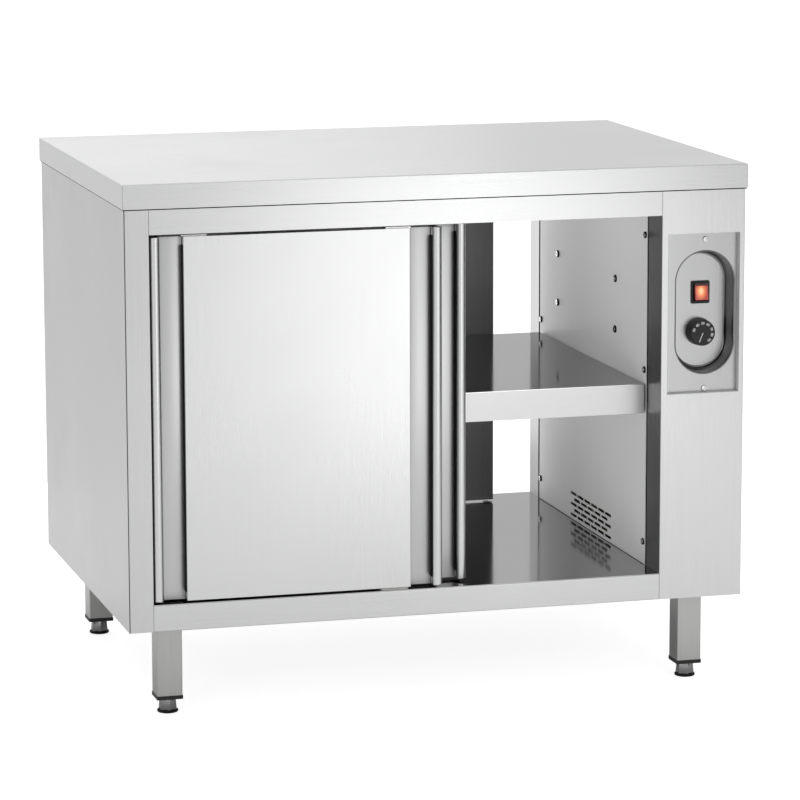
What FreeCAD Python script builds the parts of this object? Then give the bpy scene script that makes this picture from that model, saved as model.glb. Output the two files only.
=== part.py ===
import FreeCAD, Part
import math
import os

from FreeCAD import Vector

# Heated plate cabinet with two pairs of sliding doors, in millimetres.
# X runs to the right, Y to the rear and Z up; the front doors face -Y.
# The origin is at the middle of the footprint, on the floor.

# Overall size, with the feet screwed right in
width = 1000.0
depth = 700.0
height = 835.0

# Sheet stock and general clearances
sheet = 1.0
heavy_sheet = 2.0
fold_radius = 1.2
shaft_play = 0.05
screw_play = 0.1
running_gap = 0.3
cut_overrun = 5.0

# Worktop
worktop_edge = 38.0
worktop_sheet = 1.2
worktop_radius = 1.5
core_thickness = 18.0
core_play = 0.2
side_overhang = 2.6
front_overhang = 4.0

# Body shell
stile_width = 38.4
compartment_width = 137.8
front_jamb_depth = 63.0
rear_jamb_depth = 50.0
body_flange = 20.0
top_rail_height = 58.8
bottom_rail_height = 41.1
rail_return = 26.0
ceiling_drop = 18.8
ceiling_upstand = 15.0

# Inner side walls
liner_front_gap = 8.0
liner_rear_gap = 7.0
liner_foot = 12.0
floor_gap = 3.0
liner_screw_inset_front = 7.0
liner_screw_inset_rear = 9.0
liner_screw_height_shares = (0.0595, 0.516, 0.8695)

# Pan-head screws, and those that close the unused peg holes
screw_radius = 2.5
screw_length = 9.0
screw_head_radius = 4.8
screw_crown_radius = 3.6
screw_head_height = 3.4
blank_head_radius = 5.4
blank_crown_radius = 4.1

# Shelf and its pegs
shelf_height = 294.5
shelf_lip = 47.0
shelf_front_gap = 69.0
shelf_rear_gap = 70.0
shelf_side_gap = 4.2
shelf_over_peg = 18.0
peg_radius = 4.0
peg_reach = 15.0
peg_head_radius = 6.5
peg_head_height = 3.0
peg_pitch = 83.0
peg_rows = 3
peg_depth_shares = (0.2839, 0.8382)

# Warm-air slots in the right inner wall
vent_slot_length = 32.0
vent_slot_height = 5.0
vent_pitch = 36.6
vent_row_pitch = 9.2
vent_rows = 5
vent_columns = 6
vent_first_row = 7.7
vent_centre = 4.0

# Legs, plugs and feet
leg_size = 40.0
leg_wall = 1.5
leg_radius = 2.0
leg_setback_front = 40.0
leg_setback_rear = 59.0
left_leg_inset = 50.4
right_leg_inset = 51.9
leg_visible = 112.6
channel_end_gap = 28.0
plug_size = 41.0
plug_thickness = 6.0
plug_depth = 15.0
plug_play = 0.2
foot_height = 23.8
foot_base_radius = 16.5
foot_base_height = 4.5
foot_low_radius = 15.0
foot_high_radius = 13.5
foot_stem_radius = 5.0
foot_stem_length = 50.0

# Sliding doors
door_overlap = 96.2
door_thickness = 31.0
door_sheet = 1.0
door_margin = 47.5
lip_width = 12.0
door_bottom_gap = 4.0
door_top_gap = 4.5
door_setback = 1.5
door_side_gap = 5.4
front_inner_travel_share = 0.1355
rear_inner_travel_share = 0.7701

# Hanging rails
track_pitch = 33.5
track_sheet = 1.6
track_roof = 2.0
track_roof_width = 61.5
track_depth = 37.0
track_flange = 17.0
track_lip = 10.0
track_end_gap = 1.0

# Door rollers and hangers
roller_tread_radius = 9.0
roller_flange_radius = 12.0
roller_flange = 2.0
roller_width = 8.0
axle_radius = 3.0
axle_head_radius = 5.0
axle_head = 1.5
hanger_spacing = 321.0
hanger_width = 40.0
hanger_foot = 18.0
hanger_top_width = 20.0
hanger_sheet = 2.0

# Floor guides
guide_length = 45.0
guide_inset = 0.8
guide_base = 3.0
guide_blade = 3.0
guide_blade_height = 12.0
guide_play = 0.6
guide_side_border = 12.0
guide_corner = 4.0

# Control panel cut-out, plate and dish
cutout_width = 119.9
cutout_height = 255.0
cutout_inset = 10.2
cutout_drop = 88.8
plate_setback = 12.0
plate_play = 0.3
dish_width = 96.4
dish_length = 194.5
dish_depth = 30.0
dish_draft = 3.0
dish_offset = 6.0
dish_rim_radius = 1.2
tab_width = 40.0
tab_length = 20.0
plate_screw_top_inset = 11.2
plate_screw_bottom_inset = 6.3

# Lit rocker switch
switch_offset = 2.6
switch_rise = 28.1
switch_width = 31.0
switch_height = 36.5
switch_corner = 2.5
switch_flange = 2.0
switch_border = 3.5
switch_wall = 1.8
switch_body_depth = 24.0
switch_well_depth = 11.0
switch_fit = 0.2
rocker_gap = 1.1
rocker_end_gap = 1.2
rocker_tilt = 7.0
rocker_pivot_depth = 5.0
rocker_waist = 9.0
rocker_rise = 1.6
rocker_back = 3.0
rocker_pin_radius = 1.5
rocker_pin_length = 1.2

# Thermostat
knob_offset = 1.3
knob_drop = 34.9
knob_radius = 22.0
knob_taper = 1.5
knob_height = 19.0
knob_gap = 1.0
knob_edge_radius = 1.5
knob_shaft_radius = 3.0
knob_shaft_length = 21.0
knob_hole_play = 1.0
thermostat_width = 34.0
thermostat_height = 30.0
thermostat_depth = 32.0

# Warm-air blower behind the slots
impeller_radius = 30.0
impeller_blades = 24
blade_depth = 7.0
blade_lean = 14.0
blade_bow = 1.6
blade_sheet = 0.9
impeller_disc = 1.5
impeller_end_gap = 2.0
impeller_shaft_radius = 3.0
blower_offset = 65.0
scroll_gap = 6.0
scroll_end_angle = 60.0
scroll_border = 10.0
duct_height = 49.0
tongue_length = 33.0
tongue_rise = 27.0
motor_radius = 27.0
motor_length = 38.0
motor_shaft_depth = 20.0

# Finned heater in the blower's mouth
heater_tube_radius = 4.0
heater_spacing = 24.0
heater_setback = 17.0
heater_fins = 22
fin_width = 20.0
fin_height = 44.0
fin_sheet = 0.8
fin_border = 12.0
heater_terminal = 12.0

# Cord inlet
gland_offset_x = 31.0
gland_offset_y = 96.0
gland_hole_radius = 8.0
gland_bore_radius = 4.0
gland_nut_radius = 12.0
gland_nut_height = 6.0
gland_cap_height = 14.0
gland_cap_mouth_radius = 8.5

ALONG_X = Vector(1, 0, 0)
ALONG_Y = Vector(0, 1, 0)
ALONG_Z = Vector(0, 0, 1)
ORIGIN = Vector(0, 0, 0)
PLANES = {
    "xy": (ALONG_X, ALONG_Y, ALONG_Z),
    "xz": (ALONG_X, ALONG_Z, ALONG_Y),
    "yz": (ALONG_Y, ALONG_Z, ALONG_X),
}

# Faces of the body shell
body_left = -(width / 2 - side_overhang)
body_right = width / 2 - side_overhang
body_front = -(depth / 2 - front_overhang)
body_rear = depth / 2 - front_overhang
body_top = height - worktop_sheet - core_thickness
body_bottom = foot_height + plug_thickness + leg_visible
floor_bottom = body_bottom + bottom_rail_height
floor_top = floor_bottom + sheet
ceiling_bottom = body_top - ceiling_drop
doorway_top = body_top - top_rail_height
opening_left = body_left + stile_width
opening_right = body_right - compartment_width
liner_front = body_front + front_jamb_depth + liner_front_gap
liner_rear = body_rear - rear_jamb_depth - liner_rear_gap

# Places of the pegs and of the shelf they carry
shelf_top = floor_top + shelf_height
shelf_front = body_front + shelf_front_gap
shelf_rear = body_rear - shelf_rear_gap
peg_depths = [shelf_front + share * (shelf_rear - shelf_front) for share in peg_depth_shares]
peg_heights = [shelf_top - shelf_over_peg + row * peg_pitch for row in range(peg_rows)]

# Doors: size, height above the floor and travel between the jambs
opening_width = opening_right - opening_left
door_width = (opening_width - 2 * door_side_gap + door_overlap) / 2
door_travel = opening_width - 2 * door_side_gap - door_width
door_bottom = floor_top + door_bottom_gap
door_top = doorway_top - door_top_gap
outer_door_front = body_front + door_setback
closed_left = opening_left + door_side_gap

# Hanging rails, seen from the front pair: the outer rail stands against the top rail
track_face = body_front + sheet
track_bottom = ceiling_bottom - track_depth
track_lip_middle = track_face + track_flange - track_sheet / 2
roller_height = track_bottom + track_lip + roller_tread_radius + running_gap
hanger_face = track_lip_middle + roller_width / 2 + axle_head + running_gap

# Leg centres
leg_depths = (
    body_front + leg_setback_front + leg_size / 2,
    body_rear - leg_setback_rear - leg_size / 2,
)
left_leg_middle = body_left + left_leg_inset + leg_size / 2
right_leg_middle = body_right - right_leg_inset - leg_size / 2
leg_bottom = foot_height + plug_thickness
leg_top = floor_bottom - heavy_sheet

# Control plate and dish
cutout_left = opening_right + cutout_inset
cutout_top = body_top - cutout_drop
cutout_middle = (cutout_left + cutout_width / 2, cutout_top - cutout_height / 2)
plate_face = body_front + plate_setback
dish_middle = (cutout_middle[0] + dish_offset, cutout_middle[1])
dish_floor = plate_face + dish_depth
switch_middle = (dish_middle[0] + switch_offset, dish_middle[1] + switch_rise)
knob_middle = (dish_middle[0] + knob_offset, dish_middle[1] - knob_drop)

# Blower axis: the scroll lies on the housing's base plate
vent_width = vent_slot_length + (vent_columns - 1) * vent_pitch
duct_limits = (
    vent_centre - vent_width / 2 - scroll_border,
    vent_centre + vent_width / 2 + scroll_border,
)
scroll_radius = impeller_radius + scroll_gap
duct_face = opening_right + sheet
blower_x = duct_face + blower_offset
blower_z = floor_top + sheet + scroll_radius


def span(middle, size):
    """Low and high limit of a size laid evenly about its middle."""
    return (middle - size / 2, middle + size / 2)


def widened(limits, amount):
    """The same limits, moved out by an amount at both ends."""
    return (limits[0] - amount, limits[1] + amount)


def block(x, y, z):
    """Box between a low and a high limit on each axis."""
    return Part.makeBox(x[1] - x[0], y[1] - y[0], z[1] - z[0], Vector(x[0], y[0], z[0]))


def joined(shapes):
    """One solid from several that touch or overlap."""
    return shapes[0].multiFuse(shapes[1:]).removeSplitter()


def to_rear(shape):
    """The same piece on the rear side of the cabinet."""
    return shape.mirror(ORIGIN, ALONG_Y)


def extruded(outline, plane, limits):
    """Straight prism of an outline in one plane, between limits on the third axis."""
    across, up, along = PLANES[plane]
    points = [across * a + up * b + along * limits[0] for a, b in outline]
    wire = Part.makePolygon(points + points[:1])
    return Part.Face(wire).extrude(along * (limits[1] - limits[0]))


def left_normal(start, end):
    """Unit vector to the left of the way from start to end."""
    run = math.hypot(end[0] - start[0], end[1] - start[1])
    return ((start[1] - end[1]) / run, (end[0] - start[0]) / run)


def inner_corners(corners, thickness):
    """The corners of a folded sheet's inner face, to the left of its outer corners."""
    normals = [left_normal(a, b) for a, b in zip(corners, corners[1:])]
    before = normals[:1] + normals
    after = normals + normals[-1:]
    inner = []
    for corner, first, second in zip(corners, before, after):
        reach = thickness / (1 + first[0] * second[0] + first[1] * second[1])
        inner.append((corner[0] + reach * (first[0] + second[0]), corner[1] + reach * (first[1] + second[1])))
    return inner


def folded_sheet(corners, thickness, plane, limits):
    """Sheet folded along a path of outer corners, with its outer folds rounded."""
    solid = extruded(corners + inner_corners(corners, thickness)[::-1], plane, limits)
    across, up, _ = PLANES[plane]
    folds = []
    for edge in solid.Edges:
        places = [(vertex.Point.dot(across), vertex.Point.dot(up)) for vertex in edge.Vertexes]
        for corner in corners[1:-1]:
            if all(math.dist(place, corner) < shaft_play for place in places):
                folds.append(edge)
    return solid.makeFillet(fold_radius, folds)


def inverted_tray(x, y, z, thickness):
    """Tray of sheet with its floor on top and its mouth below."""
    hollow_x = widened(x, -thickness)
    hollow_y = widened(y, -thickness)
    return block(x, y, z).cut(block(hollow_x, hollow_y, (z[0], z[1] - thickness)))


def hexagon(middle, radius, level):
    """Closed hexagon in a level plane, with its corners on a circle."""
    points = []
    for corner in range(6):
        angle = math.radians(60 * corner)
        points.append(Vector(middle[0] + radius * math.cos(angle), middle[1] + radius * math.sin(angle), level))
    return Part.makePolygon(points + points[:1])


def upright_stadium(middle, across, length, level):
    """Closed outline with round ends, standing in the plane y = level."""
    radius = across / 2
    x, z = middle
    straight = length / 2 - radius
    top_left = Vector(x - radius, level, z + straight)
    top_right = Vector(x + radius, level, z + straight)
    low_left = Vector(x - radius, level, z - straight)
    low_right = Vector(x + radius, level, z - straight)
    top = Part.Arc(top_right, Vector(x, level, z + length / 2), top_left)
    bottom = Part.Arc(low_left, Vector(x, level, z - length / 2), low_right)
    left = Part.LineSegment(top_left, low_left)
    right = Part.LineSegment(low_right, top_right)
    return Part.Wire([curve.toShape() for curve in (top, left, bottom, right)])


def worktop():
    """Inverted tray with a deep edge on all four sides and softly rounded corners."""
    x = span(0, width)
    y = span(0, depth)
    z = (height - worktop_edge, height)
    outside = block(x, y, z)
    below = [edge for edge in outside.Edges if edge.BoundBox.ZMax < height - shaft_play]
    rounded = [edge for edge in outside.Edges if not any(edge.isSame(low) for low in below)]
    hollow = block(widened(x, -worktop_sheet), widened(y, -worktop_sheet), (z[0], z[1] - worktop_sheet))
    return outside.makeFillet(worktop_radius, rounded).cut(hollow)


def worktop_core():
    """Board under the worktop sheet, resting on the body's top flanges."""
    inset = worktop_sheet + core_play
    return block(
        widened(span(0, width), -inset),
        widened(span(0, depth), -inset),
        (body_top, height - worktop_sheet),
    )


def left_side_panel():
    """One sheet: jamb, rear stile, side wall, front stile and jamb, with flanges top and bottom."""
    corners = [
        (opening_left, body_rear - rear_jamb_depth),
        (opening_left, body_rear),
        (body_left, body_rear),
        (body_left, body_front),
        (opening_left, body_front),
        (opening_left, body_front + front_jamb_depth),
    ]
    walls = folded_sheet(corners, sheet, "xy", (body_bottom, body_top))
    inside = body_left + sheet
    flange_x = (inside, inside + body_flange)
    flange_y = (body_front + sheet, body_rear - sheet)
    top = block(flange_x, flange_y, (body_top - sheet, body_top))
    bottom = block(flange_x, flange_y, (body_bottom, body_bottom + sheet))
    return joined([walls, top, bottom])


def cutout_frame():
    """Return flanges of the control cut-out, with two tabs that the plate is screwed to."""
    x = (cutout_left, cutout_left + cutout_width)
    z = (cutout_top - cutout_height, cutout_top)
    y = (body_front, plate_face + sheet)
    frame = block(widened(x, sheet), y, widened(z, sheet)).cut(block(x, y, z))
    tab_x = span(dish_middle[0], tab_width)
    tab_y = (plate_face + sheet, plate_face + 2 * sheet)
    seat_y = (plate_face, plate_face + 2 * sheet)
    pieces = [frame]
    for root, tip in ((z[1], z[1] - tab_length), (z[0], z[0] + tab_length)):
        outward = root + math.copysign(sheet, root - tip)
        pieces.append(block(tab_x, tab_y, (min(outward, tip), max(outward, tip))))
        pieces.append(block(tab_x, seat_y, (min(outward, root), max(outward, root))))
    return joined(pieces)


def plate_screw_places():
    """Middles of the two screws that hold the control plate."""
    return [
        (dish_middle[0], cutout_top - plate_screw_top_inset),
        (dish_middle[0], cutout_top - cutout_height + plate_screw_bottom_inset),
    ]


def right_housing_panel():
    """One sheet round the heating compartment, with the framed control cut-out in its front."""
    corners = [
        (opening_right, body_front + front_jamb_depth),
        (opening_right, body_front),
        (body_right, body_front),
        (body_right, body_rear),
        (opening_right, body_rear),
        (opening_right, body_rear - rear_jamb_depth),
    ]
    walls = folded_sheet(corners, sheet, "xy", (body_bottom, body_top))
    inside = body_right - sheet
    flange_x = (inside - body_flange, inside)
    flange_y = (body_front + sheet, body_rear - sheet)
    top = block(flange_x, flange_y, (body_top - sheet, body_top))
    bottom = block(flange_x, flange_y, (body_bottom, body_bottom + sheet))
    mouth = block(
        (cutout_left, cutout_left + cutout_width),
        (body_front - cut_overrun, body_front + sheet),
        (cutout_top - cutout_height, cutout_top),
    )
    panel = joined([walls.cut(mouth), top, bottom, cutout_frame()])
    return panel.cut([screw_hole(x, z) for x, z in plate_screw_places()])


def screw_hole(x, z):
    """Clearance hole for a control plate screw, through the plate and its tab."""
    start = Vector(x, plate_face - cut_overrun, z)
    return Part.makeCylinder(screw_radius + screw_play, cut_overrun + screw_length, start, ALONG_Y)


def front_top_rail():
    """Fascia above the doors, with a return under the worktop."""
    corners = [
        (body_front + rail_return, body_top),
        (body_front, body_top),
        (body_front, doorway_top),
    ]
    return folded_sheet(corners, sheet, "yz", (opening_left, opening_right))


def front_bottom_rail():
    """Channel under the floor between the stiles."""
    corners = [
        (body_front + rail_return, floor_bottom),
        (body_front, floor_bottom),
        (body_front, body_bottom),
        (body_front + rail_return, body_bottom),
    ]
    return folded_sheet(corners, sheet, "yz", (opening_left, opening_right))


def cabinet_floor():
    """One sheet from sill to sill, notched along the right inner wall."""
    z = (floor_bottom, floor_top)
    main = block((opening_left, opening_right), (body_front, body_rear), z)
    liner_y = (liner_front, liner_rear)
    notch = block((opening_right - floor_gap, opening_right), liner_y, z)
    foot = block((opening_left - liner_foot, opening_left), liner_y, z)
    return joined([main.cut(notch), foot])


def cabinet_ceiling():
    """Sheet that the door rails hang under, with a folded upstand at each end."""
    y = (body_front + sheet, body_rear - sheet)
    corners = [
        (opening_left, ceiling_bottom + ceiling_upstand),
        (opening_left, ceiling_bottom),
        (opening_right, ceiling_bottom),
        (opening_right, ceiling_bottom + ceiling_upstand),
    ]
    outline = corners + inner_corners(corners, sheet)[::-1]
    return extruded(outline, "xz", y)


def liner_screw_places():
    """Depth and height of the screws in each inner side wall."""
    clear_height = ceiling_bottom - floor_top
    depths = (liner_front + liner_screw_inset_front, liner_rear - liner_screw_inset_rear)
    heights = [floor_top + share * clear_height for share in liner_screw_height_shares]
    return [(y, z) for y in depths for z in heights]


def side_liner(x):
    """Inner side wall between two planes, with its peg and screw holes."""
    wall = block(x, (liner_front, liner_rear), (floor_top, ceiling_bottom + ceiling_upstand))
    holes = []
    for y in peg_depths:
        for z in peg_heights:
            start = Vector(x[0] - cut_overrun, y, z)
            holes.append(Part.makeCylinder(peg_radius + running_gap, sheet + 2 * cut_overrun, start, ALONG_X))
    for y, z in liner_screw_places():
        start = Vector(x[0] - cut_overrun, y, z)
        holes.append(Part.makeCylinder(screw_radius + screw_play, sheet + 2 * cut_overrun, start, ALONG_X))
    return wall.cut(holes)


def left_liner():
    """Inner wall behind the left stiles."""
    return side_liner((opening_left - sheet, opening_left))


def vent_slot(y, z):
    """Cutter for one punched slot."""
    x = (opening_right - cut_overrun, duct_face + cut_overrun)
    return block(x, span(y, vent_slot_length), span(z, vent_slot_height))


def right_liner():
    """Inner wall of the heating compartment, with staggered rows of warm-air slots."""
    slots = []
    for row in range(vent_rows):
        columns = vent_columns - (vent_rows - 1 - row) % 2
        z = floor_top + vent_first_row + row * vent_row_pitch
        for column in range(columns):
            slots.append(vent_slot(vent_centre + (column - (columns - 1) / 2) * vent_pitch, z))
    return side_liner((opening_right, duct_face)).cut(slots)


def headed_screw(place, direction, shank_radius, head_radius, crown_radius):
    """Screw with its head seated at a place; the direction points from the head into the sheet."""
    shank = Part.makeCylinder(shank_radius, screw_length, place, direction)
    crown = place - direction * screw_head_height
    head = Part.makeCone(crown_radius, head_radius, screw_head_height, crown, direction)
    return joined([shank, head])


def pan_screw(place, direction):
    """Screw that holds a panel."""
    return headed_screw(place, direction, screw_radius, screw_head_radius, screw_crown_radius)


def blanking_screw(place, direction):
    """Thicker screw that closes a peg hole while no peg stands in it."""
    shank_radius = peg_radius + running_gap - screw_play
    return headed_screw(place, direction, shank_radius, blank_head_radius, blank_crown_radius)


def panel_screws():
    """Every screw of the inner walls and of the control plate, as separate solids."""
    screws = []
    for wall, direction in ((opening_left, -ALONG_X), (opening_right, ALONG_X)):
        for y, z in liner_screw_places():
            screws.append(pan_screw(Vector(wall, y, z), direction))
        for y in peg_depths:
            for z in peg_heights[1:]:
                screws.append(blanking_screw(Vector(wall, y, z), direction))
    for x, z in plate_screw_places():
        screws.append(pan_screw(Vector(x, plate_face, z), ALONG_Y))
    return Part.makeCompound(screws)


def shelf():
    """Loose inverted tray; notches in its ends drop over the pegs."""
    x = (opening_left + shelf_side_gap, opening_right - shelf_side_gap)
    z = (shelf_top - shelf_lip, shelf_top)
    tray = inverted_tray(x, (shelf_front, shelf_rear), z, sheet)
    radius = peg_radius + running_gap
    cutters = []
    for low in (x[0] - sheet, x[1] - sheet):
        for y in peg_depths:
            wall_x = (low, low + 2 * sheet)
            cutters.append(block(wall_x, span(y, 2 * radius), (z[0] - sheet, peg_heights[0])))
            start = Vector(wall_x[0], y, peg_heights[0])
            cutters.append(Part.makeCylinder(radius, 2 * sheet, start, ALONG_X))
    return tray.cut(cutters)


def shelf_peg(wall, y, direction):
    """Stud through an inner wall, with its head behind the sheet."""
    back = Vector(wall, y, peg_heights[0]) - direction * (sheet + peg_head_height)
    head = Part.makeCylinder(peg_head_radius, peg_head_height, back, direction)
    stud = Part.makeCylinder(peg_radius, peg_head_height + sheet + peg_reach, back, direction)
    return joined([head, stud])


def shelf_pegs():
    """The four studs in the lowest row of holes."""
    pegs = []
    for y in peg_depths:
        pegs.append(shelf_peg(opening_left, y, ALONG_X))
        pegs.append(shelf_peg(opening_right, y, -ALONG_X))
    return Part.makeCompound(pegs)


def leg_channel(middle):
    """Inverted channel under the floor that two legs stand in."""
    x = span(middle, leg_size + 2 * heavy_sheet)
    y = (body_front + channel_end_gap, body_rear - channel_end_gap)
    z = (body_bottom + sheet, floor_bottom)
    hollow = block(widened(x, -heavy_sheet), y, (z[0], z[1] - heavy_sheet))
    return block(x, y, z).cut(hollow)


def leg_channels():
    """Both channels, as separate solids."""
    return Part.makeCompound([leg_channel(left_leg_middle), leg_channel(right_leg_middle)])


def leg(x, y):
    """Square tube with rounded corners."""
    z = (leg_bottom, leg_top)
    outside = block(span(x, leg_size), span(y, leg_size), z)
    upright = [edge for edge in outside.Edges if abs(edge.tangentAt(edge.FirstParameter).z) > edge.Length / height / 2]
    inside = leg_size - 2 * leg_wall
    return outside.makeFillet(leg_radius, upright).cut(block(span(x, inside), span(y, inside), z))


def leg_plug(x, y):
    """End plug of a leg, with the threaded hole of its foot."""
    z = (foot_height, leg_bottom)
    inside = leg_size - 2 * leg_wall - 2 * plug_play
    collar = block(span(x, plug_size), span(y, plug_size), z)
    stem = block(span(x, inside), span(y, inside), (leg_bottom, leg_bottom + plug_depth))
    hole = Part.makeCylinder(
        foot_stem_radius + shaft_play,
        plug_thickness + plug_depth,
        Vector(x, y, foot_height),
        ALONG_Z,
    )
    return joined([collar, stem]).cut(hole)


def leg_places():
    """Name and middle of each leg."""
    return {
        "front_left": (left_leg_middle, leg_depths[0]),
        "front_right": (right_leg_middle, leg_depths[0]),
        "rear_left": (left_leg_middle, leg_depths[1]),
        "rear_right": (right_leg_middle, leg_depths[1]),
    }


def leg_plugs():
    """The four plugs, as separate solids."""
    return Part.makeCompound([leg_plug(x, y) for x, y in leg_places().values()])


def foot(x, y):
    """Screw foot: round base, six-sided body that narrows upwards and a long stem."""
    base = Part.makeCylinder(foot_base_radius, foot_base_height, Vector(x, y, 0), ALONG_Z)
    low = hexagon((x, y), foot_low_radius, foot_base_height)
    high = hexagon((x, y), foot_high_radius, foot_height)
    body = Part.makeLoft([low, high], True, True)
    stem = Part.makeCylinder(foot_stem_radius, foot_stem_length, Vector(x, y, foot_height), ALONG_Z)
    return joined([base, body, stem])


def track_rail(offset):
    """One J-shaped rail, seen from its end; a roller runs on the lip."""
    web = track_face + offset
    tip = web + track_flange
    return [
        block_yz((web, web + track_sheet), (track_bottom, ceiling_bottom - track_roof)),
        block_yz((web, tip), (track_bottom, track_bottom + track_sheet)),
        block_yz((tip - track_sheet, tip), (track_bottom, track_bottom + track_lip)),
    ]


def block_yz(y, z):
    """Bar of the track's full length, between limits on the other two axes."""
    x = (opening_left + track_end_gap, opening_right - track_end_gap)
    return block(x, y, z)


def front_track():
    """Twin rail under the ceiling: the outer door hangs in front of the inner one."""
    roof = block_yz((track_face, track_face + track_roof_width), (ceiling_bottom - track_roof, ceiling_bottom))
    return joined([roof] + track_rail(0) + track_rail(track_pitch))


def guide_blade_middle(offset):
    """Depth of a door's guide blade: the middle of the door's thickness."""
    return outer_door_front + offset + door_thickness / 2


def front_floor_guide():
    """Moulded guide on the floor where the two doors always overlap, with a blade for each."""
    left = closed_left + door_travel + guide_inset
    x = (left, left + guide_length)
    blades = [span(guide_blade_middle(offset), guide_blade) for offset in (0, track_pitch)]
    base_y = (blades[0][0] - guide_side_border, blades[1][1] + guide_side_border)
    base_z = (floor_top, floor_top + guide_base)
    base = block(x, base_y, base_z)
    upright = [edge for edge in base.Edges if abs(edge.Vertexes[0].Z - edge.Vertexes[-1].Z) > guide_base / 2]
    pieces = [base.makeFillet(guide_corner, upright)]
    for y in blades:
        pieces.append(block(x, y, (base_z[1], base_z[1] + guide_blade_height)))
    return joined(pieces)


def lip_bar(left, inset):
    """Full-height bar with a half-round nose; the inset makes the hollow inside it."""
    radius = lip_width / 2
    middle = left + radius
    nose = Vector(middle, outer_door_front + radius, door_bottom)
    back = outer_door_front + door_thickness - door_sheet
    flat = block(span(middle, lip_width - 2 * inset), (outer_door_front + radius, back), (door_bottom, door_top))
    return joined([flat, Part.makeCylinder(radius - inset, door_top - door_bottom, nose, ALONG_Z)])


def door_pan(left):
    """Front of a front outer door: round-nosed lips, recessed finger strips and raised panel."""
    right = left + door_width
    back = outer_door_front + door_thickness - door_sheet
    z = (door_bottom, door_top)
    panel_x = (left + door_margin, right - door_margin)
    panel = block(panel_x, (outer_door_front, back), z)
    corners = [edge for edge in panel.Edges if is_front_fold(edge, panel_x)]
    strip = block((left + lip_width, right - lip_width), (back - door_sheet, back), z)
    lips = (left, right - lip_width)
    solid = joined([panel.makeFillet(fold_radius, corners), strip] + [lip_bar(x, 0) for x in lips])
    inside = block(
        widened(panel_x, -door_sheet),
        (outer_door_front + door_sheet, back),
        widened(z, -door_sheet),
    )
    slot = block(
        widened((left, right), cut_overrun),
        span(guide_blade_middle(0), guide_blade + 2 * guide_play),
        (door_bottom - cut_overrun, floor_top + guide_base + guide_blade_height + 2 * guide_play),
    )
    return solid.cut([inside, slot] + [lip_bar(x, door_sheet) for x in lips])


def is_front_fold(edge, panel_x):
    """Whether an edge is an upright one at the front of the raised panel."""
    ends = [vertex.Point for vertex in edge.Vertexes]
    upright = abs(ends[0].z - ends[-1].z) > door_thickness
    return upright and abs(ends[0].y - outer_door_front) < shaft_play and panel_x[0] <= ends[0].x <= panel_x[1]


def door_back(left):
    """Flat skin that closes the back of a door."""
    back = outer_door_front + door_thickness
    return block((left, left + door_width), (back - door_sheet, back), (door_bottom, door_top))


def hanger_middles(left):
    """Where a door's two hangers stand along its width."""
    return span(left + door_width / 2, hanger_spacing)


def hanger(middle):
    """Angle bracket on a door's top edge, with the axle of its roller."""
    low = door_top
    outline = [
        (middle - hanger_width / 2, low),
        (middle + hanger_width / 2, low),
        (middle + hanger_top_width / 2, roller_height + roller_tread_radius),
        (middle - hanger_top_width / 2, roller_height + roller_tread_radius),
    ]
    plate = extruded(outline, "xz", (hanger_face, hanger_face + hanger_sheet))
    foot_y = (hanger_face + hanger_sheet - hanger_foot, hanger_face + hanger_sheet)
    foot_plate = block(span(middle, hanger_width), foot_y, (low, low + hanger_sheet))
    roller_y = span(track_lip_middle, roller_width + 2 * running_gap)
    tip = Vector(middle, roller_y[0] - axle_head, roller_height)
    axle = Part.makeCylinder(axle_radius, hanger_face - tip.y, tip, ALONG_Y)
    head = Part.makeCylinder(axle_head_radius, axle_head, tip, ALONG_Y)
    collar_start = Vector(middle, roller_y[1], roller_height)
    collar = Part.makeCylinder(axle_head_radius, hanger_face - roller_y[1], collar_start, ALONG_Y)
    return joined([plate, foot_plate, axle, head, collar])


def door_hangers(left):
    """Both hangers of a door, as separate solids."""
    return Part.makeCompound([hanger(middle) for middle in hanger_middles(left)])


def roller(middle):
    """Grooved roller that straddles the lip of its rail."""
    bore = axle_radius + shaft_play
    half = roller_width / 2
    groove = half - roller_flange
    slope = roller_flange / 2
    outline = [
        (bore, -half),
        (roller_flange_radius, -half),
        (roller_flange_radius, -half + slope),
        (roller_tread_radius, -groove),
        (roller_tread_radius, groove),
        (roller_flange_radius, half - slope),
        (roller_flange_radius, half),
        (bore, half),
    ]
    points = [Vector(middle + r, track_lip_middle + y, roller_height) for r, y in outline]
    face = Part.Face(Part.makePolygon(points + points[:1]))
    return face.revolve(Vector(middle, track_lip_middle, roller_height), ALONG_Y, 360)


def door_nodes(name, left, offset, rear):
    """Every piece of one door, moved to its rail and to the front or the rear."""
    first, second = hanger_middles(left)
    pieces = {
        "pan": door_pan(left),
        "back": door_back(left),
        "hangers": door_hangers(left),
        "left_roller": roller(first),
        "right_roller": roller(second),
    }
    nodes = {}
    for piece, shape in pieces.items():
        moved = shape.translated(ALONG_Y * offset)
        nodes[name + "_" + piece] = to_rear(moved) if rear else moved
    return nodes


def all_doors():
    """The four doors where the photograph shows them."""
    nodes = {}
    front_inner = closed_left + front_inner_travel_share * door_travel
    rear_inner = closed_left + rear_inner_travel_share * door_travel
    nodes.update(door_nodes("front_outer_door", closed_left, 0, False))
    nodes.update(door_nodes("front_inner_door", front_inner, track_pitch, False))
    nodes.update(door_nodes("rear_outer_door", closed_left, 0, True))
    nodes.update(door_nodes("rear_inner_door", rear_inner, track_pitch, True))
    return nodes


def dish_solid(border, face, floor):
    """Drafted oblong between two levels, larger than the dish's mouth by a border."""
    across = dish_width + 2 * border
    length = dish_length + 2 * border
    mouth = upright_stadium(dish_middle, across, length, face)
    base = upright_stadium(dish_middle, across - 2 * dish_draft, length - 2 * dish_draft, floor)
    return Part.makeLoft([mouth, base], True, True)


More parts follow.
